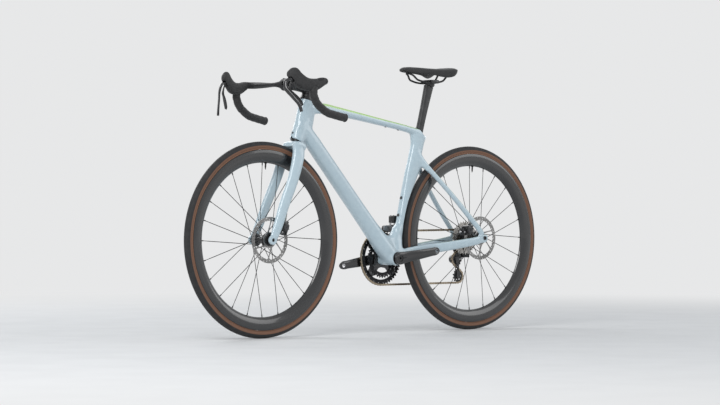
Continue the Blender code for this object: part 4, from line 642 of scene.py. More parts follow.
FRONT_AXLE = Vector((0.5, 0.0, 0.34))
FORK_LEG = (
    (0.3600, 0.0240, 0.6700, 0.0228, 0.0128),
    (0.3660, 0.0350, 0.6480, 0.0232, 0.0132),
    (0.3770, 0.0415, 0.6130, 0.0227, 0.0124),
    (0.3960, 0.0450, 0.5600, 0.0209, 0.0118),
    (0.4440, 0.0490, 0.4590, 0.0194, 0.0112),
    (0.4770, 0.0525, 0.3820, 0.0172, 0.0098),
    (0.4950, 0.0550, 0.3470, 0.0147, 0.0066),
)
skins = []
crown = head_point(0.6655)
rings = [oval(crown + Y_AXIS * y, HEAD_FORWARD, HEAD_UP, depth, height, 28, 2.6) for y, depth,
         height in ((-0.036, 0.021, 0.0125), (-0.034, 0.024, 0.0150), (-0.018, 0.026, 0.0175),
                    (0.018, 0.026, 0.0175), (0.034, 0.024, 0.0150), (0.036, 0.021, 0.0125))]
skins.append(drawn("crown", rings))
for side in (1.0, -1.0):
    skins.append(tube("blade", mirrored(FORK_LEG, side), X_AXIS, 28, 2.4))
    low, high = sorted((side * 0.0503, side * 0.0598))
    skins.append(crossing("tip", FRONT_AXLE, low, high, 0.0162, 40))
fork_blades = fused("fork_blades", 0.0020, 3, *skins)
soften(fork_blades, (((0.356, 0.034, 0.652), 0.026), ((0.356, -0.034, 0.652), 0.026)), 12)
CROWN_TOP, STEERER_TOP = 0.6830, 0.8835
crown_top = head_point(CROWN_TOP)
wheel_space = crossing("wheel_space", FRONT_AXLE, -0.0225, 0.0225, 0.3480, 128)
crown_flat = rod("crown_flat", crown_top, crown_top + HEAD_UP * 0.040, 0.080, 48)
cut(fork_blades, united("spaces", wheel_space, crown_flat))
holes = [crossing("hole", FRONT_AXLE, a, a + 0.0193, 0.026, 32) for a in (-0.0503, 0.0310)]
cut(fork_blades, united("hub_spaces", *holes))
holes = [crossing("hole", FRONT_AXLE, a, a + 0.030, 0.0064, 32) for a in (-0.075, 0.045)]
cut(fork_blades, united("axle_holes", *holes))
settled(fork_blades, frame_paint, "steering", "paint", "fork", angle=50.0)
steerer_length = (STEERER_TOP - CROWN_TOP) / HEAD_UP.z
profile = ((0.0146, -0.006), (0.0146, 0.004), (0.0143, 0.010), (0.0143, steerer_length),
           (0.0115, steerer_length), (0.0115, -0.006))
steerer = turned("steerer", profile, crown_top, HEAD_UP, 40, True)
carbon = finish("bare_carbon", (0.010, 0.010, 0.011), (0.020, 0.020, 0.021), (0.32, 0.46), 700.0, 0.000008,
                Coat_Weight=0.35, Coat_Roughness=0.25)
settled(steerer, carbon, "steering", "carbon")
left_end = 0.0583
profile = ((0.0050, -0.0572), (0.0060, -0.0565), (0.0060, left_end - 0.0006), (0.0054, left_end))
front_axle = turned("front_axle", profile, FRONT_AXLE, Y_AXIS, 40)
cut(front_axle, turned("socket", ((0.0032, left_end - 0.006), (0.0032, 0.07)), FRONT_AXLE, Y_AXIS, 6))
settled(front_axle, anodised, "steering", "anodised", "front_thru_axle")


# The stem
# A forged alloy stem, sand-blasted and anodised black, clamps the steerer from behind with two
# bolts and the bar from in front with a four-bolt faceplate. A conical cover keeps the bearing
# dry below it, and a top cap closes the steerer.


def grown(piece, *others):
    """Grows other closed pieces onto a piece."""
    for other in others:
        apply_modifier(piece, "BOOLEAN", object=other, operation="UNION", solver="EXACT")
        bpy.data.objects.remove(other)
    return piece


def copied(source, name, matrix=Matrix.Identity(4)):
    """A copy with its own mesh, moved to its place."""
    piece = source.copy()
    piece.data = source.data.copy()
    piece.name = name
    bpy.context.scene.collection.objects.link(piece)
    piece.data.transform(matrix)
    if matrix.determinant() < 0.0:
        piece.data.flip_normals()
    return piece


foot = head_point(HEAD_TOP)
CLAMP_FOOT, CLAMP_TOP = 0.847, 0.885
clamp = head_point(CLAMP_FOOT)
clamp_height = (CLAMP_TOP - CLAMP_FOOT) / HEAD_UP.z
BAR_CENTRE = Vector((0.3850, 0.0, 0.8810))
cover_top = 0.020 / HEAD_UP.z - 0.0003
profile = ((0.0232, 0.0006), (0.0235, 0.0012), (0.0235, 0.0042), (0.0230, 0.0052), (0.0212, 0.0095),
           (0.0200, 0.0150), (0.0196, cover_top - 0.0008), (0.0190, cover_top), (0.0155, cover_top),
           (0.0155, 0.0006))
cover = turned("bearing_cover", profile, foot, HEAD_UP, 48, True)
settled(cover, anodised, "steering", "anodised", "headset_cover")

stem_blast = finish("stem_blast", (0.011, 0.011, 0.012), (0.018, 0.018, 0.019), (0.42, 0.55), 2600.0,
                    0.000010, 0.25)
middle = clamp + HEAD_UP * (clamp_height / 2.0)
reach = (BAR_CENTRE - middle).normalized()
reach_up = Vector((-reach.z, 0.0, reach.x))
profile = ((0.0180, 0.0), (0.0190, 0.0010), (0.0190, clamp_height - 0.0010), (0.0180, clamp_height))
stem = turned("stem", profile, clamp, HEAD_UP, 48)
stations = [(*middle.lerp(BAR_CENTRE, share), depth, width) for share, depth,
            width in ((0.0, 0.0165, 0.0170), (0.4, 0.0150, 0.0160), (0.82, 0.0160, 0.0200))]
neck = tube("neck", stations, HEAD_UP, 32, 2.8, 6)
profile = ((0.0205, -0.0230), (0.0215, -0.0220), (0.0215, 0.0220), (0.0205, 0.0230))
barrel = turned("barrel", profile, BAR_CENTRE, Y_AXIS, 48)
faceplate = copied(barrel, "faceplate")
grown(stem, neck, barrel)
cut(stem, block("front_half", BAR_CENTRE + reach * 0.0300, (0.0600, 0.080, 0.080), reach, reach_up))
cut(stem, crossing("bar_hole", BAR_CENTRE, -0.04, 0.04, 0.0162, 48))
cut(stem, rod("steerer_hole", clamp - HEAD_UP * 0.01, clamp + HEAD_UP * (clamp_height + 0.01), 0.0146, 48))
cut(stem, block("rear_slot", middle - X_AXIS * 0.0200, (0.0200, 0.0016, 0.060), HEAD_FORWARD, HEAD_UP))
ease(stem, 0.0007, 2, 45.0)
settled(stem, stem_blast, "steering", "anodised", "stem")
cut(faceplate, block("rear_half", BAR_CENTRE - reach * 0.0297, (0.0600, 0.080, 0.080), reach, reach_up))
cut(faceplate, crossing("bar_hole", BAR_CENTRE, -0.04, 0.04, 0.0162, 48))
cut(faceplate, block("window", BAR_CENTRE + reach * 0.0180, (0.0200, 0.0180, 0.0140), reach, reach_up))
ease(faceplate, 0.0006, 2, 45.0)
settled(faceplate, stem_blast, "steering", "anodised", "stem_faceplate")
stem_bolts = []
for up_shift in (-0.0182, 0.0182):
    for y in (-0.0150, 0.0150):
        place = BAR_CENTRE + reach_up * up_shift + Y_AXIS * y + reach * 0.0085
        stem_bolts.append(bolt("face_bolt", place, reach, 0.0032, 0.0036))
for share in (0.25, 0.75):
    place = clamp + HEAD_UP * (clamp_height * share) + HEAD_FORWARD * -0.0172 + Y_AXIS * 0.0070
    stem_bolts.append(bolt("clamp_bolt", place, (Y_AXIS * 0.8 - HEAD_FORWARD * 0.6).normalized(), 0.0031,
                           0.0034))
settled(united("stem_bolts", *stem_bolts), bolt_steel, "steering", "steel")
cap_foot = clamp + HEAD_UP * clamp_height
profile = ((0.0113, -0.0060), (0.0113, 0.0002), (0.0182, 0.0002), (0.0182, 0.0024), (0.0172, 0.0036),
           (0.0100, 0.0044))
top_cap = turned("top_cap", profile, cap_foot, HEAD_UP, 48)
cut(top_cap, turned("dish", ((0.0045, 0.0020), (0.0052, 0.0060)), cap_foot, HEAD_UP, 24))
settled(top_cap, stem_blast, "steering", "anodised")
settled(bolt("top_cap_bolt", cap_foot + HEAD_UP * 0.0018, HEAD_UP, 0.0038, 0.0024), bolt_steel, "steering",
        "steel")


# The handlebar
# A moulded carbon bar: flat wing-shaped tops, a short reach and compact round drops. The bar is
# left in bare satin weave, wrapped from the hoods to the ends in padded tape, each turn lapping
# the last, and closed with push-in plugs.

BAR_RADIUS = 0.0117
HANDLEBAR = (
    (0.3850, 0.0000, 0.8810, 0.0159, 0.0159),
    (0.3850, 0.0270, 0.8810, 0.0159, 0.0159),
    (0.3846, 0.0460, 0.8815, 0.0196, 0.0105),
    (0.3840, 0.1500, 0.8830, 0.0190, 0.0105),
    (0.3850, 0.1840, 0.8835, 0.0130, 0.0117),
    (0.3920, 0.2030, 0.8840, BAR_RADIUS, BAR_RADIUS),
    (0.4100, 0.2095, 0.8845, BAR_RADIUS, BAR_RADIUS),
    (0.4320, 0.2090, 0.8790, BAR_RADIUS, BAR_RADIUS),
    (0.4440, 0.2085, 0.8650, BAR_RADIUS, BAR_RADIUS),
    (0.4475, 0.2080, 0.8450, BAR_RADIUS, BAR_RADIUS),
    (0.4420, 0.2080, 0.8240, BAR_RADIUS, BAR_RADIUS),
    (0.4295, 0.2085, 0.8050, BAR_RADIUS, BAR_RADIUS),
    (0.4110, 0.2095, 0.7905, BAR_RADIUS, BAR_RADIUS),
    (0.3900, 0.2110, 0.7780, BAR_RADIUS, BAR_RADIUS),
    (0.3550, 0.2130, 0.7690, BAR_RADIUS, BAR_RADIUS),
    (0.3080, 0.2155, 0.7600, BAR_RADIUS, BAR_RADIUS),
)


def raise_pattern(material, height, depth):
    """Adds a pattern on top of the grain."""
    tree = material.node_tree
    bump = added(tree, "Bump", Distance=depth, Height=height, Normal=tree.nodes["Bump"].outputs["Normal"])
    tree.links.new(bump.outputs["Normal"], tree.nodes["Principled BSDF"].inputs["Normal"])
    return material


def weave(material, count, depth):
    """Adds the squares of a plain carbon cloth under the lacquer."""
    tree = material.node_tree
    x, y, z = object_axes(tree)
    first = calc(tree, "SINE", times(tree, calc(tree, "ADD", x, z), count))
    second = calc(tree, "SINE", times(tree, calc(tree, "SUBTRACT", calc(tree, "ADD", y, x), z), count))
    squares = fade(tree, times(tree, first, second), -0.25, 0.25)
    overlay(material, squares, (0.030, 0.030, 0.032))
    return raise_pattern(material, squares, depth)


bar_carbon = finish("bar_carbon", (0.009, 0.009, 0.010), (0.013, 0.013, 0.014), (0.50, 0.64), 900.0, 0.000006,
                    Specular_IOR_Level=0.30)
weave(bar_carbon, 1600.0, 0.00001)
bar_path = flowing(mirrored(HANDLEBAR, -1.0)[:0:-1] + [tuple(s) for s in HANDLEBAR], 6)
bar = drawn("bar", ovals_along(bar_path, Y_AXIS, 32))
settled(bar, bar_carbon, "steering", "carbon", "handlebar")

tape_skin = finish("bar_tape", (0.014, 0.014, 0.015), (0.026, 0.026, 0.027), (0.62, 0.80), 1100.0, 0.00006,
                   Sheen_Weight=0.15, Sheen_Roughness=0.5)
plug_skin = finish("moulded_plastic", (0.010, 0.010, 0.011), (0.018, 0.018, 0.019), (0.35, 0.5), 1700.0,
                   0.00001)
TAPE_TURN = 0.0235
for side, word in SIDES:
    path = flowing(mirrored(HANDLEBAR[8:], side), 24)
    travelled = 0.0
    rings = []
    for i, station in enumerate(path):
        here = Vector(station[:3])
        ahead = Vector(path[min(i + 1, len(path) - 1)][:3])
        along = (ahead - Vector(path[max(i - 1, 0)][:3])).normalized()
        normal = (Y_AXIS - along * Y_AXIS.dot(along)).normalized()
        across = along.cross(normal)
        ring = []
        for k in range(36):
            angle = math.tau * k / 36
            turn = (travelled / TAPE_TURN + side * k / 36) % 1.0
            lap = 0.0024 - 0.0010 * (1.0 - turn) ** 3 - 0.0004 * math.exp(-((turn - 0.97) / 0.03) ** 2)
            crease = 0.00012 * math.sin(angle * 7.0 + travelled * 420.0)
            radius = BAR_RADIUS + lap + crease
            ring.append(here + normal * (math.cos(angle) * radius) + across * (math.sin(angle) * radius))
        rings.append(ring)
        travelled += (ahead - here).length
    tape = drawn("tape_" + word, rings)
    settled(tape, tape_skin, "steering", "tape", "bar_tape_" + word, angle=60.0)
    end = Vector(path[-1][:3])
    along = (end - Vector(path[-2][:3])).normalized()
    profile = ((0.0100, -0.006), (0.0146, -0.0012), (0.0150, 0.0006), (0.0142, 0.0026), (0.0110, 0.0040),
               (0.0050, 0.0046))
    plug = turned("bar_plug_" + word, profile, end - along * 0.0030, along, 32)
    settled(plug, plug_skin, "steering", "moulded_black")


# Hoods, levers and paddles
# Each brake and shift lever has a composite body clamped to the bar's hook, under a stretched
# rubber hood with a tall horn that houses the brake's master cylinder. The blade is forged alloy
# on a cross pin, and a slim paddle hinged behind it presses the shift switch.

HOOD = (
    (0.4060, 0.2090, 0.8815, 0.0145, 0.0150),
    (0.4330, 0.2060, 0.8720, 0.0200, 0.0165),
    (0.4700, 0.1980, 0.8725, 0.0225, 0.0170),
    (0.4920, 0.1910, 0.8835, 0.0275, 0.0165),
    (0.5060, 0.1860, 0.8965, 0.0300, 0.0155),
    (0.5210, 0.1810, 0.9035, 0.0225, 0.0135),
    (0.5310, 0.1780, 0.9045, 0.0130, 0.0105),
)
LEVER = (
    (0.5290, 0.1787, 0.8890, 0.0055, 0.0062),
    (0.5430, 0.1742, 0.8790, 0.0048, 0.0066),
    (0.5470, 0.1780, 0.8600, 0.0040, 0.0072),
    (0.5340, 0.1980, 0.8300, 0.0038, 0.0072),
    (0.5200, 0.2190, 0.8000, 0.0040, 0.0066),
    (0.5160, 0.2260, 0.7760, 0.0044, 0.0054),
)
PADDLE = (
    (0.5225, 0.1810, 0.8800, 0.0016, 0.0035),
    (0.5285, 0.1798, 0.8660, 0.0017, 0.0042),
    (0.5310, 0.1795, 0.8520, 0.0018, 0.0062),
    (0.5210, 0.1860, 0.8380, 0.0018, 0.0088),
    (0.5080, 0.1965, 0.8210, 0.0018, 0.0100),
    (0.4990, 0.2040, 0.8060, 0.0018, 0.0084),
    (0.4960, 0.2075, 0.7980, 0.0018, 0.0050),
)
hood_rubber = finish("hood_rubber", (0.016, 0.016, 0.017), (0.028, 0.028, 0.029), (0.60, 0.75), 1300.0,
                     0.00002, Sheen_Weight=0.1)
tree = hood_rubber.node_tree
ribs = added(tree, "TexVoronoi", Vector=added(tree, "TexCoord").outputs["Object"], Scale=480.0)
x, y, z = object_axes(tree)
grip = times(tree, fade(tree, x, 0.405, 0.425), fade(tree, x, 0.500, 0.480))
raise_pattern(hood_rubber, times(tree, grip, ribs.outputs["Distance"]), 0.0005)
lever_gloss = finish("lever_gloss", (0.009, 0.009, 0.010), (0.016, 0.016, 0.018), (0.14, 0.24), 900.0,
                     0.000004, 0.2, Coat_Weight=0.8, Coat_Roughness=0.08)


def hood_rings(stations, side, wall=0.0):
    """Upright sections of a hood, or of the body that wall's thickness inside it."""
    fine = flowing(mirrored(stations, side), 6)
    return [oval(Vector(s[:3]), Z_AXIS, Y_AXIS, s[3] - wall, s[4] - wall, 32, 2.5) for s in fine]


def widened(stations, room):
    """The same stations with some room all round."""
    return [(*s[:3], s[3] + room, s[4] + room) for s in stations]


for side, word in SIDES:
    rings = hood_rings(HOOD, side)
    tip = mirrored(((0.5340, 0.1770, 0.9045, 0.0095, 0.0080),), side)[0]
    rings.append(oval(Vector(tip[:3]), Z_AXIS, Y_AXIS, tip[3], tip[4], 32, 2.3))
    hood = drawn("hood_skin_" + word, rings)
    pivot = Vector((0.5250, 0.1800 * side, 0.8880))
    toe_in = math.atan2(HOOD[2][1] - HOOD[5][1], HOOD[5][0] - HOOD[2][0]) * side
    pin = Vector((math.sin(toe_in), math.cos(toe_in), 0.0))
    ahead = towards(X_AXIS, pin.cross(Z_AXIS))
    slot_centre = pivot + ahead * 0.0130 - Z_AXIS * 0.0170
    inner = hood_rings(HOOD[1:6], side, 0.0035)
    body = drawn("lever_body_" + word, inner)
    hollow = drawn("hollow", inner)
    slot = block("slot", slot_centre, (0.0497, 0.0190, 0.0508), ahead, Z_AXIS)
    bar_core = tube("core", widened(mirrored(HANDLEBAR[3:11], side), 0.0006), X_AXIS * -1.0, 24)
    body_slot = copied(slot, "body_slot")
    body_core = copied(bar_core, "body_core")
    cut(hood, hollow, slot, bar_core)
    ease(hood, 0.0008, 2, 50.0)
    settled(hood, hood_rubber, "steering", "hood_rubber", "hood_" + word, angle=55.0)
    cut(body, body_slot, body_core)
    settled(body, plug_skin, "steering", "moulded_black", "lever_body_" + word, angle=45.0)
    blade = tube("blade_" + word, mirrored(LEVER, side), X_AXIS, 24, 2.6, 8)
    knuckle = turned("knuckle", ((0.0052, -0.0060), (0.0060, -0.0052), (0.0060, 0.0052), (0.0052, 0.0060)),
                     pivot, pin, 28)
    grown(blade, knuckle)
    ease(blade, 0.0006, 2, 50.0)
    settled(blade, lever_gloss, word + "_brake_lever", "moulded_black", "brake_lever_" + word, angle=50.0)
    pivot_pin = turned("lever_pin_" + word, ((0.0016, -0.0090), (0.0020, -0.0086), (0.0020, 0.0086),
                                             (0.0016, 0.0090)), pivot, pin, 20)
    settled(pivot_pin, bolt_steel, word + "_brake_lever", "steel")
    paddle = tube("paddle_" + word, mirrored(PADDLE, side), X_AXIS, 20, 2.6, 6)
    settled(paddle, plug_skin, word + "_shift_paddle", "moulded_black", "shift_paddle_" + word)


# The wheels
# Deep carbon rims with supple black tyres whose casing shows as a tan band, laced with bladed
# steel spokes to machined hubs. Each wheel carries a disc rotor on a splined centre-lock, held
# by a knurled ring, and a valve pokes through the rim's inner edge.


def spun(name, outline, centre, steps):
    """A closed outline of (radius, y) points spun once round an axle."""
    deselect()
    bpy.ops.mesh.primitive_circle_add(vertices=len(outline), fill_type="NOTHING")
    piece = bpy.context.object
    piece.name = name
    bpy.ops.object.mode_set(mode="EDIT")
    mesh = bmesh.from_edit_mesh(piece.data)
    for vertex, (radius, y) in zip(mesh.verts, outline):
        vertex.co = centre + Vector((0.0, y, radius))
    bpy.ops.mesh.spin(steps=steps, angle=math.tau, center=centre, axis=Y_AXIS)
    bpy.ops.mesh.select_all(action="SELECT")
    bpy.ops.mesh.remove_doubles(threshold=0.00002)
    bpy.ops.mesh.normals_make_consistent(inside=False)
    bpy.ops.object.mode_set(mode="OBJECT")
    return piece


def wheel_spot(angle, radius, y):
    """A point beside a wheel's centre, at an angle in its plane."""
    return Vector((math.cos(angle) * radius, y, math.sin(angle) * radius))


def holes_round(name, axle, count, radius, y, low, high, size, sides=20, first=0.0):
    """Cutters across the bike, evenly spaced on a circle round an axle."""
    spots = [axle + wheel_spot(math.tau * number / count + first, radius, y) for number in range(count)]
    return [crossing(name, spot, low, high, size, sides) for spot in spots]


def polar(tree, centre):
    """A surface point's distance from an axle and its angle round it."""
    x, y, z = object_axes(tree)
    across = calc(tree, "SUBTRACT", x, centre.x)
    upward = calc(tree, "SUBTRACT", z, centre.z)
    squares = calc(tree, "ADD", times(tree, across, across), times(tree, upward, upward))
    return calc(tree, "SQRT", squares), calc(tree, "ARCTAN2", upward, across), y


def other_half(section):
    """The mirror image of half a section of (radius, y), in the order that closes it."""
    return [(radius, -y) for radius, y in section[::-1]]


TYRE_CENTRE = 0.3255
tyre_section = []
for step in range(41):
    angle = math.radians(-127.0 + 254.0 * step / 40)
    swell = 0.0145 + (0.0003 * math.cos(angle) ** 8 if abs(angle) < 0.6 else 0.0) - 0.0003
    tyre_section.append((TYRE_CENTRE + swell * math.cos(angle), swell * math.sin(angle)))
tyre_foot = [(0.3150, 0.0119), (0.3136, 0.0124), (0.3127, 0.0121), (0.3127, 0.0092), (0.3160, 0.0086)]
tyre_section += tyre_foot
for step in range(9):
    angle = math.radians(118.0 - 236.0 * step / 8)
    tyre_section.append((TYRE_CENTRE + 0.0120 * math.cos(angle), 0.0120 * math.sin(angle)))
tyre_section += other_half(tyre_foot)
rim_side = ((0.3122, 0.0120), (0.3119, 0.0129), (0.3108, 0.0137), (0.3080, 0.0142), (0.2990, 0.0145),
            (0.2900, 0.0140), (0.2825, 0.0125), (0.2765, 0.0100), (0.2720, 0.0070), (0.2690, 0.0042),
            (0.2672, 0.0018))
rim_bed = ((0.3122, -0.0100), (0.3080, -0.0085), (0.3072, -0.0060))
rim_section = [*rim_side, (0.2665, 0.0), *other_half(rim_side), *rim_bed, *other_half(rim_bed)]
HUBS = {
    "front": (
        (0.0088, -0.0495), (0.0095, -0.0490), (0.0100, -0.0450), (0.0125, -0.0420), (0.0150, -0.0380),
              (0.0212, -0.0356),
        (0.0220, -0.0350), (0.0220, -0.0322), (0.0212, -0.0316), (0.0150, -0.0290), (0.0120, -0.0262),
              (0.0108, -0.0150),
        (0.0105, 0.0000), (0.0109, 0.0110), (0.0125, 0.0180), (0.0160, 0.0208), (0.0232, 0.0222),
              (0.0240, 0.0228),
        (0.0240, 0.0252), (0.0232, 0.0258), (0.0180, 0.0285), (0.0168, 0.0305), (0.0168, 0.0375),
              (0.0150, 0.0440),
        (0.0100, 0.0455), (0.0095, 0.0490), (0.0088, 0.0495),
    ),
    "rear": (
        (0.0200, -0.0200), (0.0240, -0.0196), (0.0250, -0.0188), (0.0250, -0.0157), (0.0242, -0.0150),
             (0.0180, -0.0120),
        (0.0150, -0.0095), (0.0132, 0.0000), (0.0125, 0.0100), (0.0128, 0.0200), (0.0140, 0.0280),
             (0.0175, 0.0310),
        (0.0232, 0.0322), (0.0240, 0.0328), (0.0240, 0.0352), (0.0232, 0.0358), (0.0180, 0.0385),
             (0.0168, 0.0405),
        (0.0168, 0.0535), (0.0150, 0.0600), (0.0110, 0.0620), (0.0095, 0.0690), (0.0088, 0.0705),
    ),
}
HALF_STEP = math.pi / 12
FLANGES = {
    "front": ((-0.0335, 0.0200, 0.0), (0.0240, 0.0220, HALF_STEP)),
    "rear": ((-0.0170, 0.0230, 0.0), (0.0340, 0.0220, HALF_STEP)),
}
VALVE_ANGLE = math.radians(93.0)
ROTOR_Y = {"front": 0.0390, "rear": 0.0545}
SPOKES_A_SIDE = 12
spoke_steel = finish("spoke_black", (0.010, 0.010, 0.011), (0.020, 0.020, 0.021), (0.25, 0.35), 1500.0,
                     0.000003, 0.6)
rotor_steel = finish("rotor_steel", (0.20, 0.198, 0.195), (0.33, 0.325, 0.32), (0.20, 0.32), 240.0, 0.000004,
                     1.0)
hub_black = finish("hub_black", (0.010, 0.010, 0.011), (0.017, 0.017, 0.018), (0.24, 0.36), 1300.0, 0.000004,
                   0.3, Coat_Weight=0.4, Coat_Roughness=0.15)
valve_black = finish("valve_black", (0.016, 0.016, 0.017), (0.028, 0.028, 0.029), (0.22, 0.34), 1500.0,
                     0.000004, 0.8)


def straight(start, end, sections):
    """Stations of (share, flat, thick) along a straight line."""
    return [(*start.lerp(end, share), flat, thick) for share, flat, thick in sections]


SPOKE_SECTIONS = ((0.0, 0.0011, 0.0010), (0.06, 0.0010, 0.0010), (0.10, 0.0012, 0.0006),
                  (0.14, 0.0013, 0.0005), (0.86, 0.0013, 0.0005), (0.90, 0.0011, 0.0007),
                  (0.94, 0.0010, 0.0010), (1.0, 0.0010, 0.0010))
for word, axle in (("front", FRONT_AXLE), ("rear", REAR_AXLE)):
    body = word + "_wheel"
    tyre_rubber = finish(word + "_tyre_rubber", (0.014, 0.014, 0.015), (0.024, 0.024, 0.025), (0.60, 0.78),
                         800.0, 0.00003)
    tree = tyre_rubber.node_tree
    radius, angle, y = polar(tree, axle)
    tread = calc(tree, "SINE", calc(tree, "ADD", times(tree, angle, 1100.0),
                                    times(tree, calc(tree, "ABSOLUTE", y), 2600.0)))
    shoulder = fade(tree, radius, 0.3300, 0.3345)
    raise_pattern(tyre_rubber, times(tree, tread, shoulder), 0.00012)
    overlay(tyre_rubber, band(tree, radius, 0.3114, 0.3261, 0.0004), (0.190, 0.093, 0.055))
    tyre = spun(word + "_tyre_casing", tyre_section, axle, 180)
    settled(tyre, tyre_rubber, body, "tyre", word + "_tyre")

    rim_carbon = finish(word + "_rim_carbon", (0.006, 0.006, 0.007), (0.010, 0.010, 0.011), (0.20, 0.30),
                        500.0, 0.000003, Coat_Weight=1.0, Coat_Roughness=0.05)
    tree = rim_carbon.node_tree
    radius, angle, y = polar(tree, axle)
    weave_u = calc(tree, "SINE", times(tree, angle, 420.0))
    weave_v = calc(tree, "SINE", times(tree, radius, 1400.0))
    overlay(rim_carbon, fade(tree, times(tree, weave_u, weave_v), -0.3, 0.3), (0.013, 0.013, 0.014))
    rim = spun(word + "_rim_shell", rim_section, axle, 144)
    way = wheel_spot(VALVE_ANGLE, 1.0, 0.0)
    cut(rim, rod("valve_hole", axle + way * 0.255, axle + way * 0.325, 0.0033, 20))
    settled(rim, rim_carbon, body, "carbon", word + "_rim")

    valve_profile = ((0.0014, -0.018), (0.0016, -0.0165), (0.0016, -0.0140), (0.0024, -0.0135),
                     (0.0024, -0.0100), (0.0029, -0.0095), (0.0029, 0.0000), (0.0029, 0.0400))
    valve = turned(word + "_valve", valve_profile, axle + way * 0.2620, way, 20)
    nut = turned("valve_nut", ((0.0046, 0.0026), (0.0050, 0.0030), (0.0050, 0.0048), (0.0046, 0.0052)),
                 axle + way * 0.2620, way, 20)
    settled(united(word + "_valve", valve, nut), valve_black, body, "moulded_black")

    shell = turned(word + "_hub_shell", HUBS[word], axle, Y_AXIS, 48)
    cut(shell, crossing("axle_hole", axle, -0.08, 0.08, AXLE_BORE, 32))
    settled(shell, hub_black, body, "anodised", word + "_hub")

    spokes = []
    nipples = []
    for flange_y, flange_radius, offset in FLANGES[word]:
        for number in range(SPOKES_A_SIDE):
            trailing = 1.0 if number % 2 else -1.0
            rim_angle = math.tau * number / SPOKES_A_SIDE + offset
            hub_angle = rim_angle + trailing * math.radians(50.0)
            hub_y = flange_y + math.copysign(0.0013, flange_y) * trailing
            start = axle + wheel_spot(hub_angle, flange_radius, hub_y)
            rim_end = axle + wheel_spot(rim_angle, 0.2705, flange_y * 0.03)
            along = (rim_end - start).normalized()
            if not spokes:
                length = (rim_end - start).length
                spoke = tube("spoke", straight(Vector((0, 0, 0)), Vector((0, 0, length)), SPOKE_SECTIONS),
                             X_AXIS, 8, 2.0, 1)
                nipple = turned("nipple", ((0.0013, -0.0130), (0.0020, -0.0122), (0.0020, -0.0030),
                                           (0.0024, 0.0)), Vector((0.0, 0.0, length)), Z_AXIS, 8)
            flat = along.cross(Y_AXIS).normalized()
            place = standing(start, flat, along.cross(flat), along)
            spokes.append(copied(spoke, "spoke", place))
            nipples.append(copied(nipple, "nipple", place))
    bpy.data.objects.remove(spoke)
    bpy.data.objects.remove(nipple)
    settled(united(word + "_spokes", *spokes), spoke_steel, body, "steel")
    settled(united(word + "_nipples", *nipples), spoke_steel, body, "steel")

    rotor_y = ROTOR_Y[word]
    rotor_band = spun("rotor_band", ((0.0662, -0.0009), (0.0800, -0.0009), (0.0800, 0.0009),
                                     (0.0662, 0.0009)), axle + Y_AXIS * rotor_y, 144)
    drills = []
    for number in range(36):
        turn = math.tau * number / 36
        centre = axle + wheel_spot(turn, (0.0700, 0.0732, 0.0764)[number % 3], rotor_y)
        drills.append(crossing("drill", centre, -0.002, 0.002, 0.0023, 12))
        inner_edge = axle + wheel_spot(turn + 0.05, 0.0650, rotor_y)
        drills.append(crossing("scallop", inner_edge, -0.002, 0.002, 0.0030, 14))
    cut(rotor_band, united("drills", *drills))
    carrier = spun("carrier", ((0.0178, -0.0010), (0.0270, -0.0010), (0.0270, 0.0010), (0.0178, 0.0010)),
                   axle + Y_AXIS * rotor_y, 64)
    for number in range(6):
        angle = math.radians(60.0 * number + 12.0)
        start = axle + wheel_spot(angle, 0.0255, rotor_y)
        end_spot = axle + wheel_spot(angle + math.radians(24.0), 0.0690, rotor_y)
        arm = tube("arm", straight(start, end_spot,
                                   ((0.0, 0.0040, 0.0008), (0.3, 0.0025, 0.0008), (0.8, 0.0024, 0.0008),
                                    (1.0, 0.0038, 0.0008))), (end_spot - start).cross(Y_AXIS).normalized(),
                   12, 5.0, 3)
        grown(carrier, arm)
    grown(rotor_band, carrier)
    rotor_band.name = word + "_disc"
    settled(rotor_band, rotor_steel, body, "steel", word + "_rotor")
    lock_profile = ((0.0172, 0.0010), (0.0205, 0.0010), (0.0212, 0.0016), (0.0212, 0.0032), (0.0205, 0.0038),
                    (0.0150, 0.0042), (0.0140, 0.0038), (0.0140, 0.0010))
    lock_ring = turned("lock_ring", lock_profile, axle + Y_AXIS * rotor_y, Y_AXIS, 48, True)
    notches = holes_round("notch", axle, 12, 0.0218, rotor_y + 0.0030, -0.003, 0.004, 0.0016, 10)
    cut(lock_ring, united("notches", *notches))
    lock_ring.name = word + "_lock_ring"
    settled(lock_ring, anodised, body, "anodised")


# The cassette
# Twelve stamped steel sprockets, satin nickel plated, with alloy spacers between them, slid on
# the splined freehub and clamped by a lock ring at the small end.

CHAIN_PITCH = 0.0127
CHAIN_Y = -0.0475
SPROCKET_STEP = 0.0033
MIDDLE_SPROCKET = 5
CASSETTE_TEETH = (10, 11, 12, 13, 14, 15, 17, 19, 21, 24, 27, 30)


def pitch_radius(teeth):
    """The radius that the chain's pins run at round a wheel of that many teeth."""
    return CHAIN_PITCH / (2.0 * math.sin(math.pi / teeth))


def toothed(teeth, centre, first_angle, reach=0.0022):
    """The toothed edge of a wheel as (x, z) points, with round roots and narrow tips."""
    radius = pitch_radius(teeth)
    step = math.tau / teeth
    shape = ((0.0, -0.0037), (0.14, -0.0034), (0.24, -0.0020), (0.32, 0.0), (0.40, reach * 0.8),
             (0.47, reach), (0.53, reach), (0.60, reach * 0.8), (0.68, 0.0), (0.76, -0.0020), (0.86, -0.0034))
    outline = []
    for tooth in range(teeth):
        for share, height in shape:
            angle = first_angle + (tooth + share) * step
            outline.append((centre.x + (radius + height) * math.cos(angle),
                            centre.z + (radius + height) * math.sin(angle)))
    return outline


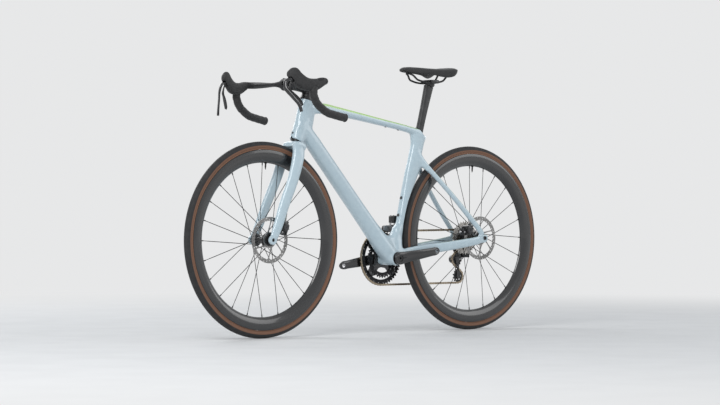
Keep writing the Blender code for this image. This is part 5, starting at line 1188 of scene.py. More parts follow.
sprocket_nickel = finish("sprocket_nickel", (0.400, 0.385, 0.360), (0.560, 0.540, 0.510), (0.26, 0.40), 300.0,
                         0.000005, 1.0)
spacer_alloy = finish("spacer_alloy", (0.020, 0.020, 0.021), (0.035, 0.035, 0.036), (0.35, 0.5), 1200.0,
                      0.000005, 0.6)
sprockets = []
for number, teeth in enumerate(CASSETTE_TEETH):
    y = CHAIN_Y + (number - MIDDLE_SPROCKET) * SPROCKET_STEP
    sprocket = plate("sprocket", toothed(teeth, REAR_AXLE, math.pi / 2.0), y - 0.00075, y + 0.00075, 0.00025)
    windows = [crossing("bore", REAR_AXLE, y - 0.002, y + 0.002, 0.0152, 32)]
    if teeth > 18:
        spider_radius = (0.0170 + pitch_radius(teeth) - 0.0050) / 2.0
        count = 6 if teeth < 24 else 9
        room = spider_radius * math.sin(math.pi / count) - 0.0020
        size = min((pitch_radius(teeth) - 0.0050 - 0.0180) / 2.0 - 0.0010, room)
        windows += holes_round("window", REAR_AXLE, count, spider_radius, y, -0.002, 0.002, size, 20,
                               number * 0.2)
    cut(sprocket, united("windows", *windows))
    sprockets.append(sprocket)
settled(united("sprockets", *sprockets), sprocket_nickel, "cassette", "chain_steel", "cassette")
smallest_y = CHAIN_Y - MIDDLE_SPROCKET * SPROCKET_STEP
profile = [(0.0146, smallest_y - 0.0024), (0.0158, smallest_y - 0.0024)]
for number in range(12):
    y = smallest_y + number * SPROCKET_STEP
    profile += [(0.0158, y - 0.0009), (0.0150, y - 0.0008), (0.0150, y + 0.0008), (0.0158, y + 0.0009)]
profile += [(0.0165, y + 0.0014), (0.0165, -0.0205), (0.0146, -0.0205)]
settled(turned("spacers", profile, REAR_AXLE, Y_AXIS, 40, True), spacer_alloy, "cassette", "anodised")
profile = ((0.0064, smallest_y - 0.0030), (0.0140, smallest_y - 0.0030), (0.0146, smallest_y - 0.0025),
           (0.0146, smallest_y - 0.0012), (0.0130, smallest_y - 0.0008), (0.0130, -0.0210), (0.0064, -0.0210))
lock = turned("cassette_lock_ring", profile, REAR_AXLE, Y_AXIS, 48, True)
splines = holes_round("spline", REAR_AXLE, 12, 0.0115, smallest_y, -0.006, -0.0012, 0.0011, 8)
cut(lock, united("splines", *splines))
settled(lock, spacer_alloy, "cassette", "anodised")
profile = ((0.0064, -0.0705), (0.0086, -0.0705), (0.0090, -0.0700), (0.0090, smallest_y - 0.0032),
           (0.0064, smallest_y - 0.0032))
settled(turned("freehub_end", profile, REAR_AXLE, Y_AXIS, 32, True), spacer_alloy, "cassette", "anodised")


# The crankset
# Hollow-forged alloy arms, anodised gloss black, on a steel spindle through the bottom bracket.
# The right arm's four-armed spider carries two machined rings on short bolts, and the left arm
# is pinched on the spindle by two bolts. The pedal threads are bare.

crank_black = finish("crank_black", (0.008, 0.008, 0.009), (0.014, 0.014, 0.015), (0.16, 0.26), 700.0,
                     0.000003, 0.3, Coat_Weight=1.0, Coat_Roughness=0.05)
ring_black = finish("ring_black", (0.014, 0.014, 0.015), (0.026, 0.026, 0.028), (0.26, 0.38), 900.0, 0.000004,
                    0.7)
CRANK_LENGTH = 0.1700
CRANK_WAY = Vector((-0.98902, 0.0, 0.14781))
CRANK = (
    (-0.0205, 0.0520, 0.0090, 0.0052),
    (-0.0180, 0.0520, 0.0140, 0.0060),
    (-0.0060, 0.0520, 0.0212, 0.0064),
    (0.0300, 0.0545, 0.0202, 0.0064),
    (0.0850, 0.0612, 0.0178, 0.0062),
    (0.1480, 0.0660, 0.0150, 0.0060),
    (0.1700, 0.0665, 0.0142, 0.0060),
    (0.1800, 0.0665, 0.0098, 0.0056),
    (0.1835, 0.0665, 0.0040, 0.0048),
)
for side, word in SIDES:
    direction = CRANK_WAY * side
    stations = []
    for along, y, depth, width in CRANK:
        point = BOTTOM_BRACKET + direction * along
        stations.append((point.x, y * side, point.z, depth, width))
    arm = tube("arm_" + word, stations, Z_AXIS, 32, 3.2, 6)
    pedal = BOTTOM_BRACKET + direction * CRANK_LENGTH
    inner_end = 0.0455
    if side > 0.0:
        cut(arm, crossing("inside", BOTTOM_BRACKET, 0.040, inner_end, 0.060, 48))
        cut(arm, crossing("spindle_hole", BOTTOM_BRACKET, 0.040, 0.075, 0.0121, 40))
        pinch = BOTTOM_BRACKET + direction * 0.0190
        cut(arm, block("pinch_slot", pinch + Y_AXIS * 0.052, (0.0150, 0.0012, 0.040), direction, Y_AXIS))
    cut(arm, crossing("face", pedal, side * 0.0710, side * 0.085, 0.0110, 40))
    cut(arm, crossing("thread", pedal, side * 0.050, side * 0.080, 0.0071, 32))
    ease(arm, 0.0007, 2, 45.0)
    settled(arm, crank_black, "crankset", "anodised", "crank_" + word, angle=50.0)
    insert = turned("pedal_insert_" + word, ((0.0066, 0.0600), (0.0071, 0.0600), (0.0071, 0.0712),
                                             (0.0066, 0.0712)), pedal, Y_AXIS * side, 32, True)
    settled(insert, bearing_steel, "crankset", "steel")
profile = ((0.0040, 0.0500), (0.0040, 0.0568), (0.0062, 0.0580), (0.0105, 0.0580), (0.0119, 0.0574),
           (0.0119, 0.0500))
cap = turned("crank_cap", profile, BOTTOM_BRACKET, Y_AXIS, 40, True)
settled(cap, plug_skin, "crankset", "moulded_black")
pinch = BOTTOM_BRACKET + CRANK_WAY * 0.0200
pinch_bolts = [bolt("pinch_bolt", pinch + Y_AXIS * y - Z_AXIS * 0.0188, -Z_AXIS, 0.0030,
                    0.0030) for y in (0.0505, 0.0560)]
settled(united("pinch_bolts", *pinch_bolts), bolt_steel, "crankset", "steel")
profile = ((0.0121, -0.0560), (0.0145, -0.0540), (0.0145, 0.0448), (0.0119, 0.0452), (0.0119, 0.0560),
           (0.0100, 0.0560), (0.0100, -0.0560))
settled(turned("spindle", profile, BOTTOM_BRACKET, Y_AXIS, 40, True), bearing_steel, "crankset", "steel")
SPIDER_LOW, SPIDER_HIGH = -0.0463, -0.0409
SPIDER_ARMS = [math.radians(90.0 * number + 45.0) for number in range(4)]
outline = []
for middle in SPIDER_ARMS:
    for turn, radius in ((-0.62, 0.0340), (-0.36, 0.0400), (-0.26, 0.0560), (-0.24, 0.0740), (-0.16, 0.0805),
                         (0.0, 0.0822),
                         (0.16, 0.0805), (0.24, 0.0740), (0.26, 0.0560), (0.36, 0.0400)):
        spot = BOTTOM_BRACKET + wheel_spot(middle + turn, radius, 0.0)
        outline.append((spot.x, spot.z))
spider = plate("spider", outline, SPIDER_LOW, SPIDER_HIGH, 0.0010, 2)
boss = turned("spider_boss", ((0.0300, -0.0560), (0.0330, -0.0545), (0.0335, -0.0410), (0.0262, -0.0400)),
              BOTTOM_BRACKET, Y_AXIS, 48)
grown(spider, boss)
cut(spider, crossing("boss_bore", BOTTOM_BRACKET, -0.0455, -0.0350, 0.0262, 48))
settled(spider, crank_black, "crankset", "anodised", angle=45.0)
ring_bolts = []
for middle in SPIDER_ARMS:
    for radius, back in ((0.0755, -0.0410), (0.0560, -0.0388)):
        face = BOTTOM_BRACKET + wheel_spot(middle, radius, -0.0484)
        ring_bolts.append(bolt("ring_bolt", face, -Y_AXIS, 0.0042, 0.0016, 0.8))
        rear_face = BOTTOM_BRACKET + wheel_spot(middle, radius, back)
        ring_bolts.append(bolt("ring_nut", rear_face, Y_AXIS, 0.0042, 0.0014, 0.8))
settled(united("chainring_bolts", *ring_bolts), bolt_steel, "crankset", "steel")
LARGE_RING_TEETH, SMALL_RING_TEETH = 48, 35
for word, teeth, y, opening in (("outer", LARGE_RING_TEETH, CHAIN_Y, 0.0780),
                                ("inner", SMALL_RING_TEETH, CHAIN_Y + 0.0078, 0.0525)):
    ring = plate("ring_" + word, toothed(teeth, BOTTOM_BRACKET, math.pi / 2.0), y - 0.0009, y + 0.0009,
                 0.0003)
    cut(ring, crossing("opening", BOTTOM_BRACKET, y - 0.003, y + 0.003, opening, 96))
    if word == "outer":
        lugs = [crossing("lug", BOTTOM_BRACKET + wheel_spot(middle, 0.0775, 0.0), y - 0.0009, y + 0.0009,
                         0.0085, 28) for middle in SPIDER_ARMS]
        grown(ring, *lugs)
    drills = holes_round("drill", BOTTOM_BRACKET, 24, pitch_radius(teeth) - 0.0075, y, -0.003, 0.003, 0.0016,
                         10, math.pi / 24)
    cut(ring, united("drills", *drills))
    settled(ring, ring_black, "crankset", "anodised", "chainring_" + word)


# The chain
# A hundred and ten steel links: pairs of waisted plates pressed on pins, the inner pairs with
# rollers between them, bronze grey with a film of oil. It wraps the large ring and a middle
# sprocket and doubles back over the two pulleys.

GUIDE_PULLEY = Vector((-0.479, CHAIN_Y, 0.2600))
TENSION_PULLEY = Vector((-0.485, CHAIN_Y, 0.1975))


def tangent_angle(first, first_radius, second, second_radius, crossed, upper):
    """The angle in degrees where a straight run leaves the first circle for the second."""
    offset = second - first
    distance = math.hypot(offset.x, offset.z)
    heading = math.atan2(offset.z, offset.x)
    change = first_radius + second_radius if crossed else first_radius - second_radius
    turn = math.acos(change / distance)
    return math.degrees(heading + (turn if upper else -turn))


def arc(centre, radius, start, end):
    """Points on an arc between two angles in degrees."""
    count = max(2, int(abs(end - start) / 2.0))
    return [Vector((centre.x, 0.0, centre.z)) + wheel_spot(math.radians(start + (end - start) * i / count),
                                                           radius, CHAIN_Y) for i in range(count + 1)]


PULLEY_TEETH = 12
ring_run = pitch_radius(LARGE_RING_TEETH)
sprocket_run = pitch_radius(CASSETTE_TEETH[MIDDLE_SPROCKET])
pulley_run = pitch_radius(PULLEY_TEETH)
top = tangent_angle(BOTTOM_BRACKET, ring_run, REAR_AXLE, sprocket_run, False, False)
bottom = tangent_angle(BOTTOM_BRACKET, ring_run, TENSION_PULLEY, pulley_run, False, True)
to_guide = tangent_angle(TENSION_PULLEY, pulley_run, GUIDE_PULLEY, pulley_run, True, True)
guide_end = tangent_angle(GUIDE_PULLEY, pulley_run, REAR_AXLE, sprocket_run, True, False)
runs = [
    arc(BOTTOM_BRACKET, ring_run, top, bottom),
    arc(TENSION_PULLEY, pulley_run, bottom, to_guide - 360.0) + arc(GUIDE_PULLEY, pulley_run,
                                                                    to_guide - 180.0, guide_end),
    arc(REAR_AXLE, sprocket_run, guide_end + 180.0, top),
]
line = [point for points in runs for point in points]
line.append(line[0])
reaches = [0.0]
for a, b in zip(line, line[1:]):
    reaches.append(reaches[-1] + (b - a).length)
ring_end = reaches[len(runs[0]) - 1]
cage_start = reaches[len(runs[0])]
cage_end = reaches[len(runs[0]) + len(runs[1]) - 1]
link_count = 2 * round(reaches[-1] / CHAIN_PITCH / 2.0)
pitch = reaches[-1] / link_count


def on_line(reach):
    """The point of the chain's line that far along it."""
    reach = reach % reaches[-1]
    for i in range(len(line) - 1):
        if reach <= reaches[i + 1]:
            return line[i].lerp(line[i + 1], (reach - reaches[i]) / (reaches[i + 1] - reaches[i]))
    return line[-1]


def link(name, plate_y, half, core, reach, radius, sides):
    """Two waisted plates lying along X on two pins or rollers, a pitch apart."""
    outline = []
    for centre, start in ((pitch / 2.0, -100), (-pitch / 2.0, 80)):
        for step in range(6):
            angle = math.radians(start + 40.0 * step)
            outline.append((centre + half * math.cos(angle), half * math.sin(angle)))
        outline.append((0.0, half * (0.68 if start < 0 else -0.68)))
    plates = [plate("link_plate", outline, y - 0.0003, y + 0.0003) for y in (-plate_y, plate_y)]
    ends = [Vector((x, 0.0, 0.0)) for x in (-pitch / 2.0, pitch / 2.0)]
    return united(name, *plates, *[crossing(core, end, -reach, reach, radius, sides) for end in ends])


outer_link = link("outer_link", 0.00195, 0.0039, "pin", 0.0024, 0.0014, 8)
inner_link = link("inner_link", 0.00130, 0.0041, "roller", 0.0010, 0.0037, 10)
chain_steel = finish("chain_bronze", (0.300, 0.245, 0.180), (0.440, 0.370, 0.280), (0.26, 0.40), 420.0,
                     0.000004, 1.0)
groups = {"upper": [], "lower": [], "cage": []}
for number in range(link_count):
    a = on_line(number * pitch)
    b = on_line((number + 1) * pitch)
    along = (b - a).normalized()
    place = standing((a + b) / 2.0, along, Y_AXIS, along.cross(Y_AXIS))
    middle = (number + 0.5) * pitch
    group = "cage" if cage_start <= middle <= cage_end else "upper"
    if ring_end < middle < cage_start:
        group = "lower"
    groups[group].append(copied(inner_link if number % 2 else outer_link, "link", place))
bpy.data.objects.remove(outer_link)
bpy.data.objects.remove(inner_link)
settled(united("chain_upper_run", *groups["upper"]), chain_steel, "frame", "chain_steel", "chain", angle=30.0)
settled(united("chain_round_pulleys", *groups["cage"]), chain_steel, "rear_cage", "chain_steel", angle=30.0)
lower_chain = settled(united("chain_lower_run", *groups["lower"]), chain_steel, None, "chain_steel",
                      angle=30.0)
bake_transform(lower_chain)


# The rear derailleur
# A wireless derailleur: a cast body hung from the hanger by one bolt, a battery clipped to its
# back, a short parallelogram, and a spring-loaded cage of carbon plates that carries the two
# toothed pulleys and takes up the chain's slack.

CAGE_GAP, CAGE_WALL = 0.0034, 0.0018
pulley_black = finish("pulley_black", (0.012, 0.012, 0.013), (0.022, 0.022, 0.023), (0.35, 0.5), 1500.0,
                      0.000006)
for word, centre in (("guide", GUIDE_PULLEY), ("tension", TENSION_PULLEY)):
    wheel = plate("pulley_" + word, toothed(PULLEY_TEETH, centre, 0.0), CHAIN_Y - 0.0009, CHAIN_Y + 0.0009,
                  0.0002)
    flat_centre = Vector((centre.x, CHAIN_Y, centre.z))
    windows = holes_round("window", flat_centre, 6, 0.0130, 0.0, -0.002, 0.002, 0.0031, 20)
    cut(wheel, united("windows", *windows))
    hub = turned("pulley_hub", ((0.0068, -0.0026), (0.0075, -0.0022), (0.0075, 0.0022), (0.0068, 0.0026)),
                 flat_centre, Y_AXIS, 32)
    grown(wheel, hub)
    cut(wheel, crossing("pin_hole", flat_centre, -0.01, 0.01, 0.0028, 24))
    settled(wheel, pulley_black, word + "_wheel", "anodised", word + "_pulley")


def cage_plate(name, grow, low, high):
    """A cage plate round both pulleys, waisted between them."""
    outline = []
    waist = (GUIDE_PULLEY + TENSION_PULLEY) / 2.0
    for near, far, start, way in ((GUIDE_PULLEY, TENSION_PULLEY, 0.0, -1.0),
                                  (TENSION_PULLEY, GUIDE_PULLEY, 180.0, 1.0)):
        for step in range(13):
            spot = near + wheel_spot(math.radians(start + 15.0 * step), grow, 0.0)
            outline.append((spot.x, spot.z))
        for share in (0.28, 0.5, 0.72):
            spot = near.lerp(far, share)
            outline.append((spot.x + way * grow * (0.62 + 1.2 * (share - 0.5) ** 2), spot.z))
    piece = plate(name, outline, low, high)
    window = []
    for step in range(16):
        angle = math.tau * step / 16
        window.append((waist.x + grow * 0.30 * math.cos(angle), waist.z + 0.0125 * math.sin(angle)))
    cut(piece, plate("window", window, low - 0.002, high + 0.002))
    return ease(piece, 0.0004, 1, 50.0)


outer_y, inner_y = CHAIN_Y - CAGE_GAP, CHAIN_Y + CAGE_GAP
cage = united("cage_plates", cage_plate("outer_plate", 0.0115, outer_y - CAGE_WALL, outer_y),
              cage_plate("inner_plate", 0.0095, inner_y, inner_y + CAGE_WALL))
cage_carbon = finish("cage_carbon", (0.010, 0.010, 0.011), (0.016, 0.016, 0.017), (0.26, 0.38), 900.0,
                     0.000005, Coat_Weight=0.4, Coat_Roughness=0.15)
weave(cage_carbon, 2400.0, 0.000006)
settled(cage, cage_carbon, "rear_cage", "carbon", "derailleur_cage")
pins = []
for centre in (GUIDE_PULLEY, TENSION_PULLEY):
    start = Vector((centre.x, outer_y - CAGE_WALL, centre.z))
    stop = Vector((centre.x, inner_y + CAGE_WALL + 0.0006, centre.z))
    pins.append(rod("pulley_pin", start, stop, 0.0022, 20))
    if centre is TENSION_PULLEY:
        pins.append(bolt("pulley_bolt", start, -Y_AXIS, 0.0040, 0.0016, 0.7))
settled(united("pulley_bolts", *pins), bolt_steel, "rear_cage", "steel")

cast_black = finish("cast_black", (0.011, 0.011, 0.012), (0.019, 0.019, 0.020), (0.26, 0.40), 1100.0,
                    0.000008, 0.25, Coat_Weight=0.4, Coat_Roughness=0.18)
mount = Vector((REAR_AXLE.x - 0.0060, 0.0, REAR_AXLE.z - 0.0290))
arm_y = -0.0806 - 0.0003 - 0.0045 - 0.0003
knuckle_end = outer_y - CAGE_WALL - 0.0003
knuckle = Vector((GUIDE_PULLEY.x, 0.0, GUIDE_PULLEY.z))
arm_stations = (
    (mount.x, arm_y - 0.0052, mount.z, 0.0095, 0.0048),
    (mount.x - 0.0120, arm_y - 0.0068, mount.z - 0.0170, 0.0110, 0.0058),
    (mount.x - 0.0140, arm_y + 0.0080, mount.z - 0.0330, 0.0120, 0.0100),
    (knuckle.x - 0.0200, knuckle_end - 0.0140, knuckle.z + 0.0100, 0.0120, 0.0100),
    (knuckle.x, knuckle_end - 0.0125, knuckle.z, 0.0125, 0.0100),
)
derailleur = turned("derailleur", ((0.0120, knuckle_end - 0.0240), (0.0140, knuckle_end - 0.0225),
                                   (0.0145, knuckle_end - 0.0200), (0.0145, knuckle_end - 0.0003)), knuckle,
                    Y_AXIS, 40)
others = [
    turned("mount_boss", ((0.0095, arm_y - 0.0100), (0.0110, arm_y - 0.0085), (0.0110, arm_y)), mount, Y_AXIS,
           40),
    tube("parallelogram", arm_stations, X_AXIS, 24, 3.0, 5),
]
grown(derailleur, *others)
cut(derailleur, block("cage_space", Vector((knuckle.x - 0.010, knuckle_end / 2.0, knuckle.z)),
                      (0.0800, -knuckle_end, 0.0600)))
ease(derailleur, 0.0007, 2, 45.0)
settled(derailleur, cast_black, "frame", "anodised", "derailleur_body", angle=50.0)
low = Vector((mount.x - 0.0500, knuckle_end - 0.0230, mount.z - 0.0450))
high = Vector((mount.x - 0.0160, knuckle_end - 0.0030, mount.z - 0.0180))
battery = block("battery", (low + high) / 2.0, tuple(high - low))
ease(battery, 0.0030, 4, 40.0)
groove = block("groove", Vector((low.x + 0.0100, (low.y + high.y) / 2.0, (low.z + high.z) / 2.0)),
               (0.0008, 0.0300, 0.0400))
inner_core = block("core", (low + high) / 2.0, tuple((high - low) - Vector((0.0014, 0.0014, 0.0014))))
cut(groove, inner_core)
cut(battery, groove)
settled(battery, plug_skin, "frame", "moulded_black")
mount_bolt = bolt("hanger_bolt", Vector((mount.x, arm_y - 0.0098, mount.z)), -Y_AXIS, 0.0066, 0.0026, 0.8)
pivot_bolts = [mount_bolt, bolt("knuckle_bolt", Vector((knuckle.x, knuckle_end - 0.0238, knuckle.z)), -Y_AXIS,
                                0.0060, 0.0020, 0.8)]
settled(united("derailleur_bolts", *pivot_bolts), bolt_steel, "frame", "steel")


# The front derailleur
# A small motor body on the seat tube with a stamped steel cage round the chain. The cage moves
# sideways a little to shift between the rings and to trim.

motor_x = -0.1500
motor = block("front_motor", Vector((motor_x + 0.0035, -0.03225, 0.40975)), (0.0310, 0.0275, 0.0275))
ease(motor, 0.0050, 4, 40.0)
foot_block = block("motor_foot", Vector((motor_x - 0.0010, -0.0160, 0.4070)), (0.0180, 0.0080, 0.0220))
grown(motor, foot_block)
cut(motor, tube("tube_space", widened(seat_stations, 0.0004), X_AXIS, 28, 2.5))
seam = block("seam", Vector((motor_x + 0.0035, -0.0465, 0.40725)), (0.0300, 0.0016, 0.0008))
cut(motor, seam)
settled(motor, cast_black, "frame", "anodised", "front_derailleur_body", angle=45.0)
fasteners = [bolt("motor_bolt", Vector((motor_x + 0.0045, -0.0456, 0.4135)), -Y_AXIS, 0.0030, 0.0018, 0.8)]
for x_place in (-0.1525, -0.1385):
    fasteners.append(bolt("limit_screw", Vector((x_place, -0.0395, 0.4235)), Z_AXIS, 0.0021, 0.0015, 0.7))
for y_place in (-0.0275, -0.0405):
    profile = ((0.0022, -0.0164), (0.0025, -0.0160), (0.0025, 0.0160), (0.0022, 0.0164))
    fasteners.append(turned("link_pin", profile, Vector((motor_x + 0.0035, y_place, 0.4000)), X_AXIS, 20))
settled(united("front_motor_fasteners", *fasteners), bolt_steel, "frame", "steel")
low = 0.3600
outline = ((-0.1720, low), (-0.1600, low + 0.0008), (-0.1400, low + 0.0030), (-0.1220, low + 0.0056),
           (-0.1110, low + 0.0082), (-0.1055, low + 0.0112), (-0.1045, low + 0.0165), (-0.1055, low + 0.0225),
           (-0.1085, low + 0.0256), (-0.1150, low + 0.0274), (-0.1300, low + 0.0282), (-0.1520, low + 0.0250),
           (-0.1700, low + 0.0205), (-0.1722, low + 0.0160))
cage_steel = finish("cage_steel", (0.44, 0.44, 0.45), (0.60, 0.60, 0.61), (0.25, 0.38), 700.0, 0.000004, 0.85)
left_wall = plate("cage_wall", outline, CHAIN_Y + 0.0045, CHAIN_Y + 0.0057, 0.0003)
right_wall = plate("cage_wall", outline, CHAIN_Y - 0.0057, CHAIN_Y - 0.0045, 0.0003)
bridges = [block("bridge", Vector((-0.1670, CHAIN_Y, low + 0.0185)), (0.0060, 0.0102, 0.0030)),
           block("bridge", Vector((-0.1300, CHAIN_Y, low + 0.02575)), (0.0120, 0.0102, 0.0035)),
           block("bridge", Vector((-0.1520, CHAIN_Y + 0.0062, low + 0.0240)), (0.0240, 0.0045, 0.0120))]
for x_place in (-0.1570, -0.1360):
    bridges.append(block("link", Vector((x_place, CHAIN_Y + 0.0075, 0.3895)), (0.0036, 0.0080, 0.0120)))
for bridge in bridges:
    ease(bridge, 0.0006, 2, 40.0)
settled(united("front_cage", left_wall, right_wall, *bridges), cage_steel, "front_cage", "alloy",
        "front_derailleur_cage")


# The disc brakes
# Two-piston hydraulic calipers, cast and anodised black, bolted flat to the fork's left blade and
# the left chainstay. A pair of pads on steel backing plates drops in from above, held by a pin,
# and each hose comes out of the carbon a hand's breadth away.

CALIPER_REACH, CALIPER_OFFSET = 0.0640, 0.0400
pad_steel = finish("pad_steel", (0.16, 0.155, 0.15), (0.24, 0.23, 0.22), (0.38, 0.52), 900.0, 0.000008, 0.9)
hose_skin = finish("hose_skin", (0.012, 0.012, 0.013), (0.020, 0.020, 0.021), (0.40, 0.52), 1300.0, 0.000006)
for word, axle, upper, lower, away, limb_y, body in (
        ("front", FRONT_AXLE, FORK_LEG[4], FORK_LEG[5], -X_AXIS, 0.0480, "steering"),
        ("rear", REAR_AXLE, CHAIN_STAY[4], CHAIN_STAY[5], Z_AXIS, 0.0590, "frame")):
    rotor_y = ROTOR_Y[word]
    up = Vector(upper[:3]) - Vector(lower[:3])
    up.y = 0.0
    up.normalize()
    off = towards(away, up.cross(Y_AXIS).normalized())
    middle = Vector((axle.x, rotor_y, axle.z))
    centre = middle + up * CALIPER_REACH + off * CALIPER_OFFSET
    caliper = block("caliper_" + word, centre - off * 0.0020, (0.0500, 0.0290, 0.0320), up, off)
    ease(caliper, 0.0040, 3, 40.0)
    shoulders = [block("shoulder", centre + up * reach - off * 0.0060 + Y_AXIS * 0.0150,
                       (0.0130, 0.0120, 0.0300), up, off) for reach in (-0.0215, 0.0215)]
    cut(caliper, united("shoulders", *shoulders))
    cut(caliper, block("crest", centre + up * 0.0210 + off * 0.0140, (0.0160, 0.0400, 0.0100), up, off))
    ease(caliper, 0.0022, 3, 40.0)
    lobe = turned("lobe", ((0.0125, 0.0120), (0.0135, 0.0150), (0.0130, 0.0175), (0.0105, 0.0182)),
                  centre - off * 0.0020, Y_AXIS, 36)
    grown(caliper, lobe)
    stations = FORK_LEG if word == "front" else CHAIN_STAY[2:]
    limb = tube("limb", widened(stations, 0.0004), X_AXIS if word == "front" else Z_AXIS, 28, 2.4)
    cut(caliper, limb)
    if word == "rear":
        cut(caliper, tube("stay_space", widened(SEAT_STAY[2:], 0.0010), Z_AXIS, 24, 2.4))
    cut(caliper, crossing("rotor_slot", middle, -0.0016, 0.0016, 0.0815, 96))
    pad_centre = middle + up * (CALIPER_REACH - 0.0010) + off * (CALIPER_OFFSET - 0.0020)
    cut(caliper, block("pad_pocket", pad_centre + off * 0.0100, (0.0246, 0.0094, 0.0380), up, off))
    ends = ((0.0560, 0.0040, limb_y), (0.0440, 0.0110, limb_y), (0.0300, 0.0270, (limb_y + rotor_y) / 2.0),
            (0.0150, 0.0350, rotor_y + 0.0010), (0.0, 0.0370, rotor_y))
    end = CALIPER_REACH + 0.0280 - 0.0030
    hose_stations = []
    for reach_extra, lift, y in ends:
        point = axle + up * (end + reach_extra) + off * lift
        hose_stations.append((point.x, y, point.z, 0.0025, 0.0025))
    hose_space = tube("hose_space", widened(hose_stations, 0.0004), off, 16)
    cut(caliper, hose_space)
    ease(caliper, 0.0005, 2, 50.0)
    settled(caliper, cast_black, body, "anodised", word + "_caliper", angle=50.0)
    hose = tube("hose_" + word, hose_stations, off, 24, 2.0, 10)
    settled(hose, hose_skin, body, "moulded_black", word + "_hose")
    along = (Vector(hose_stations[-2][:3]) - Vector(hose_stations[-1][:3])).normalized()
    nut = turned("hose_nut", ((0.0030, 0.0), (0.0042, 0.0006), (0.0042, 0.0050), (0.0034, 0.0058),
                              (0.0032, 0.0120), (0.0026, 0.0125)),
                 Vector(hose_stations[-1][:3]) + along * 0.0025, along, 6)
    bleed_screw = bolt("bleed_screw", centre + up * 0.0180 + off * 0.0092 - Y_AXIS * 0.0080, off, 0.0030,
                       0.0026, 0.7)
    pad_pin = crossing("pad_pin", pad_centre + off * 0.0160, -0.0165, 0.0165, 0.0013, 14)
    caps = [bolt("mount_bolt", centre + up * reach - off * 0.0060 + Y_AXIS * 0.0088, Y_AXIS, 0.0036, 0.0026,
                 0.8) for reach in (-0.0200, 0.0200)]
    settled(united(word + "_caliper_bolts", nut, bleed_screw, pad_pin, *caps), bearing_steel, body, "steel")
    profile = ((0.0098, 0.0178), (0.0098, 0.0190), (0.0090, 0.0197), (0.0062, 0.0197), (0.0058, 0.0190))
    piston_cap = turned(word + "_piston_cap", profile, centre - off * 0.0020, Y_AXIS, 36)
    cut(piston_cap, turned("socket", ((0.0034, 0.0180), (0.0034, 0.0210)), centre - off * 0.0020, Y_AXIS, 6))
    settled(piston_cap, nut_alloy, body, "alloy")
    for side, name in ((1.0, "outer"), (-1.0, "inner")):
        place = pad_centre + Y_AXIS * (side * (0.0009 + 0.0006 + 0.0015))
        backing = block("backing", place + Y_AXIS * (side * 0.0008), (0.0236, 0.0014, 0.0170), up, off)
        lining = block("lining", place - Y_AXIS * (side * 0.0007), (0.0220, 0.0016, 0.0158), up, off)
        tab = block("tab", place + Y_AXIS * (side * 0.0008) + off * 0.0120, (0.0100, 0.0014, 0.0090), up, off)
        for part in (backing, lining, tab):
            ease(part, 0.0004, 2, 40.0)
        pads = united(word + "_pad_set_" + name, backing, lining, tab)
        settled(pads, pad_steel, f"{word}_{name}_pad", "steel", f"{word}_pad_{name}")


# The saddle
# A short-nosed racing saddle: thin foam under a matte black synthetic cover, heat-formed over a
# carbon base, with two smooth side panels and a raised tail. Its carbon rails are clamped in a
# small alloy cradle on the post's head.

SADDLE = (
    (-0.1530, 0.0100, 0.9550, 0.9485, 0.9495),
    (-0.1590, 0.0160, 0.9595, 0.9475, 0.9492),
    (-0.1780, 0.0200, 0.9628, 0.9445, 0.9482),
    (-0.2100, 0.0215, 0.9634, 0.9420, 0.9478),
    (-0.2500, 0.0265, 0.9622, 0.9395, 0.9476),
    (-0.2850, 0.0375, 0.9610, 0.9362, 0.9480),
    (-0.3150, 0.0520, 0.9608, 0.9300, 0.9490),
    (-0.3420, 0.0665, 0.9626, 0.9285, 0.9500),
    (-0.3600, 0.0705, 0.9652, 0.9335, 0.9518),
    (-0.3750, 0.0650, 0.9657, 0.9440, 0.9540),
    (-0.3850, 0.0480, 0.9645, 0.9535, 0.9565),
)


def saddle_ring(x, half, top, skirt, under):
    """One section of the cushion: crowned top, round shoulders, drawn-in sides, hollow underside."""
    centre_dip = 0.0014 * max(0.0, min(1.0, (-0.200 - x) / 0.05)) * max(0.0, min(1.0, (x + 0.372) / 0.03))
    outline = ((0.0, top - centre_dip), (0.10, top - centre_dip * 0.8), (0.24, top - 0.0001),
               (0.45, top - 0.0004), (0.63, top - 0.0013), (0.78, top - 0.0028), (0.88, top - 0.0050),
               (0.95, top - 0.0078), (0.985, top * 0.7 + skirt * 0.3), (1.00, top * 0.5 + skirt * 0.5),
               (0.985, top * 0.28 + skirt * 0.72), (0.955, skirt + 0.0030), (0.915, skirt + 0.0006),
               (0.86, skirt), (0.80, skirt * 0.8 + under * 0.2), (0.74, skirt * 0.5 + under * 0.5),
               (0.60, skirt * 0.15 + under * 0.85), (0.40, under), (0.20, under))
    left = [Vector((x, share * half, z)) for share, z in outline]
    right = [Vector((x, -share * half, z)) for share, z in outline[1:]]
    return left + [Vector((x, 0.0, under))] + right[::-1]


saddle_cover = finish("saddle_cover", (0.016, 0.016, 0.017), (0.026, 0.026, 0.027), (0.52, 0.66), 900.0,
                      0.00004, Sheen_Weight=0.2, Sheen_Roughness=0.4)
tree = saddle_cover.node_tree
x, y, z = object_axes(tree)
across = calc(tree, "ABSOLUTE", y)
edge = calc(tree, "MULTIPLY_ADD", calc(tree, "POWER",
                                       calc(tree, "MAXIMUM", calc(tree, "SUBTRACT", -0.225, x), 0.0), 1.3),
            1.10, 0.0125)
seam = band(tree, calc(tree, "SUBTRACT", across, edge), -0.0006, 0.0006, 0.0005)
stitch = fade(tree, calc(tree, "SINE", times(tree, x, 2200.0)), -0.2, 0.4)
raise_pattern(saddle_cover, times(tree, seam, calc(tree, "MULTIPLY_ADD", stitch, 0.5, -1.0)), 0.0009)
MOST_SWELL = 0.0012
fine_stations = flowing(SADDLE, 6)
cushion = drawn("cushion", [saddle_ring(*station) for station in fine_stations])
cushion.data.remesh_voxel_size = 0.0018
pick(cushion)
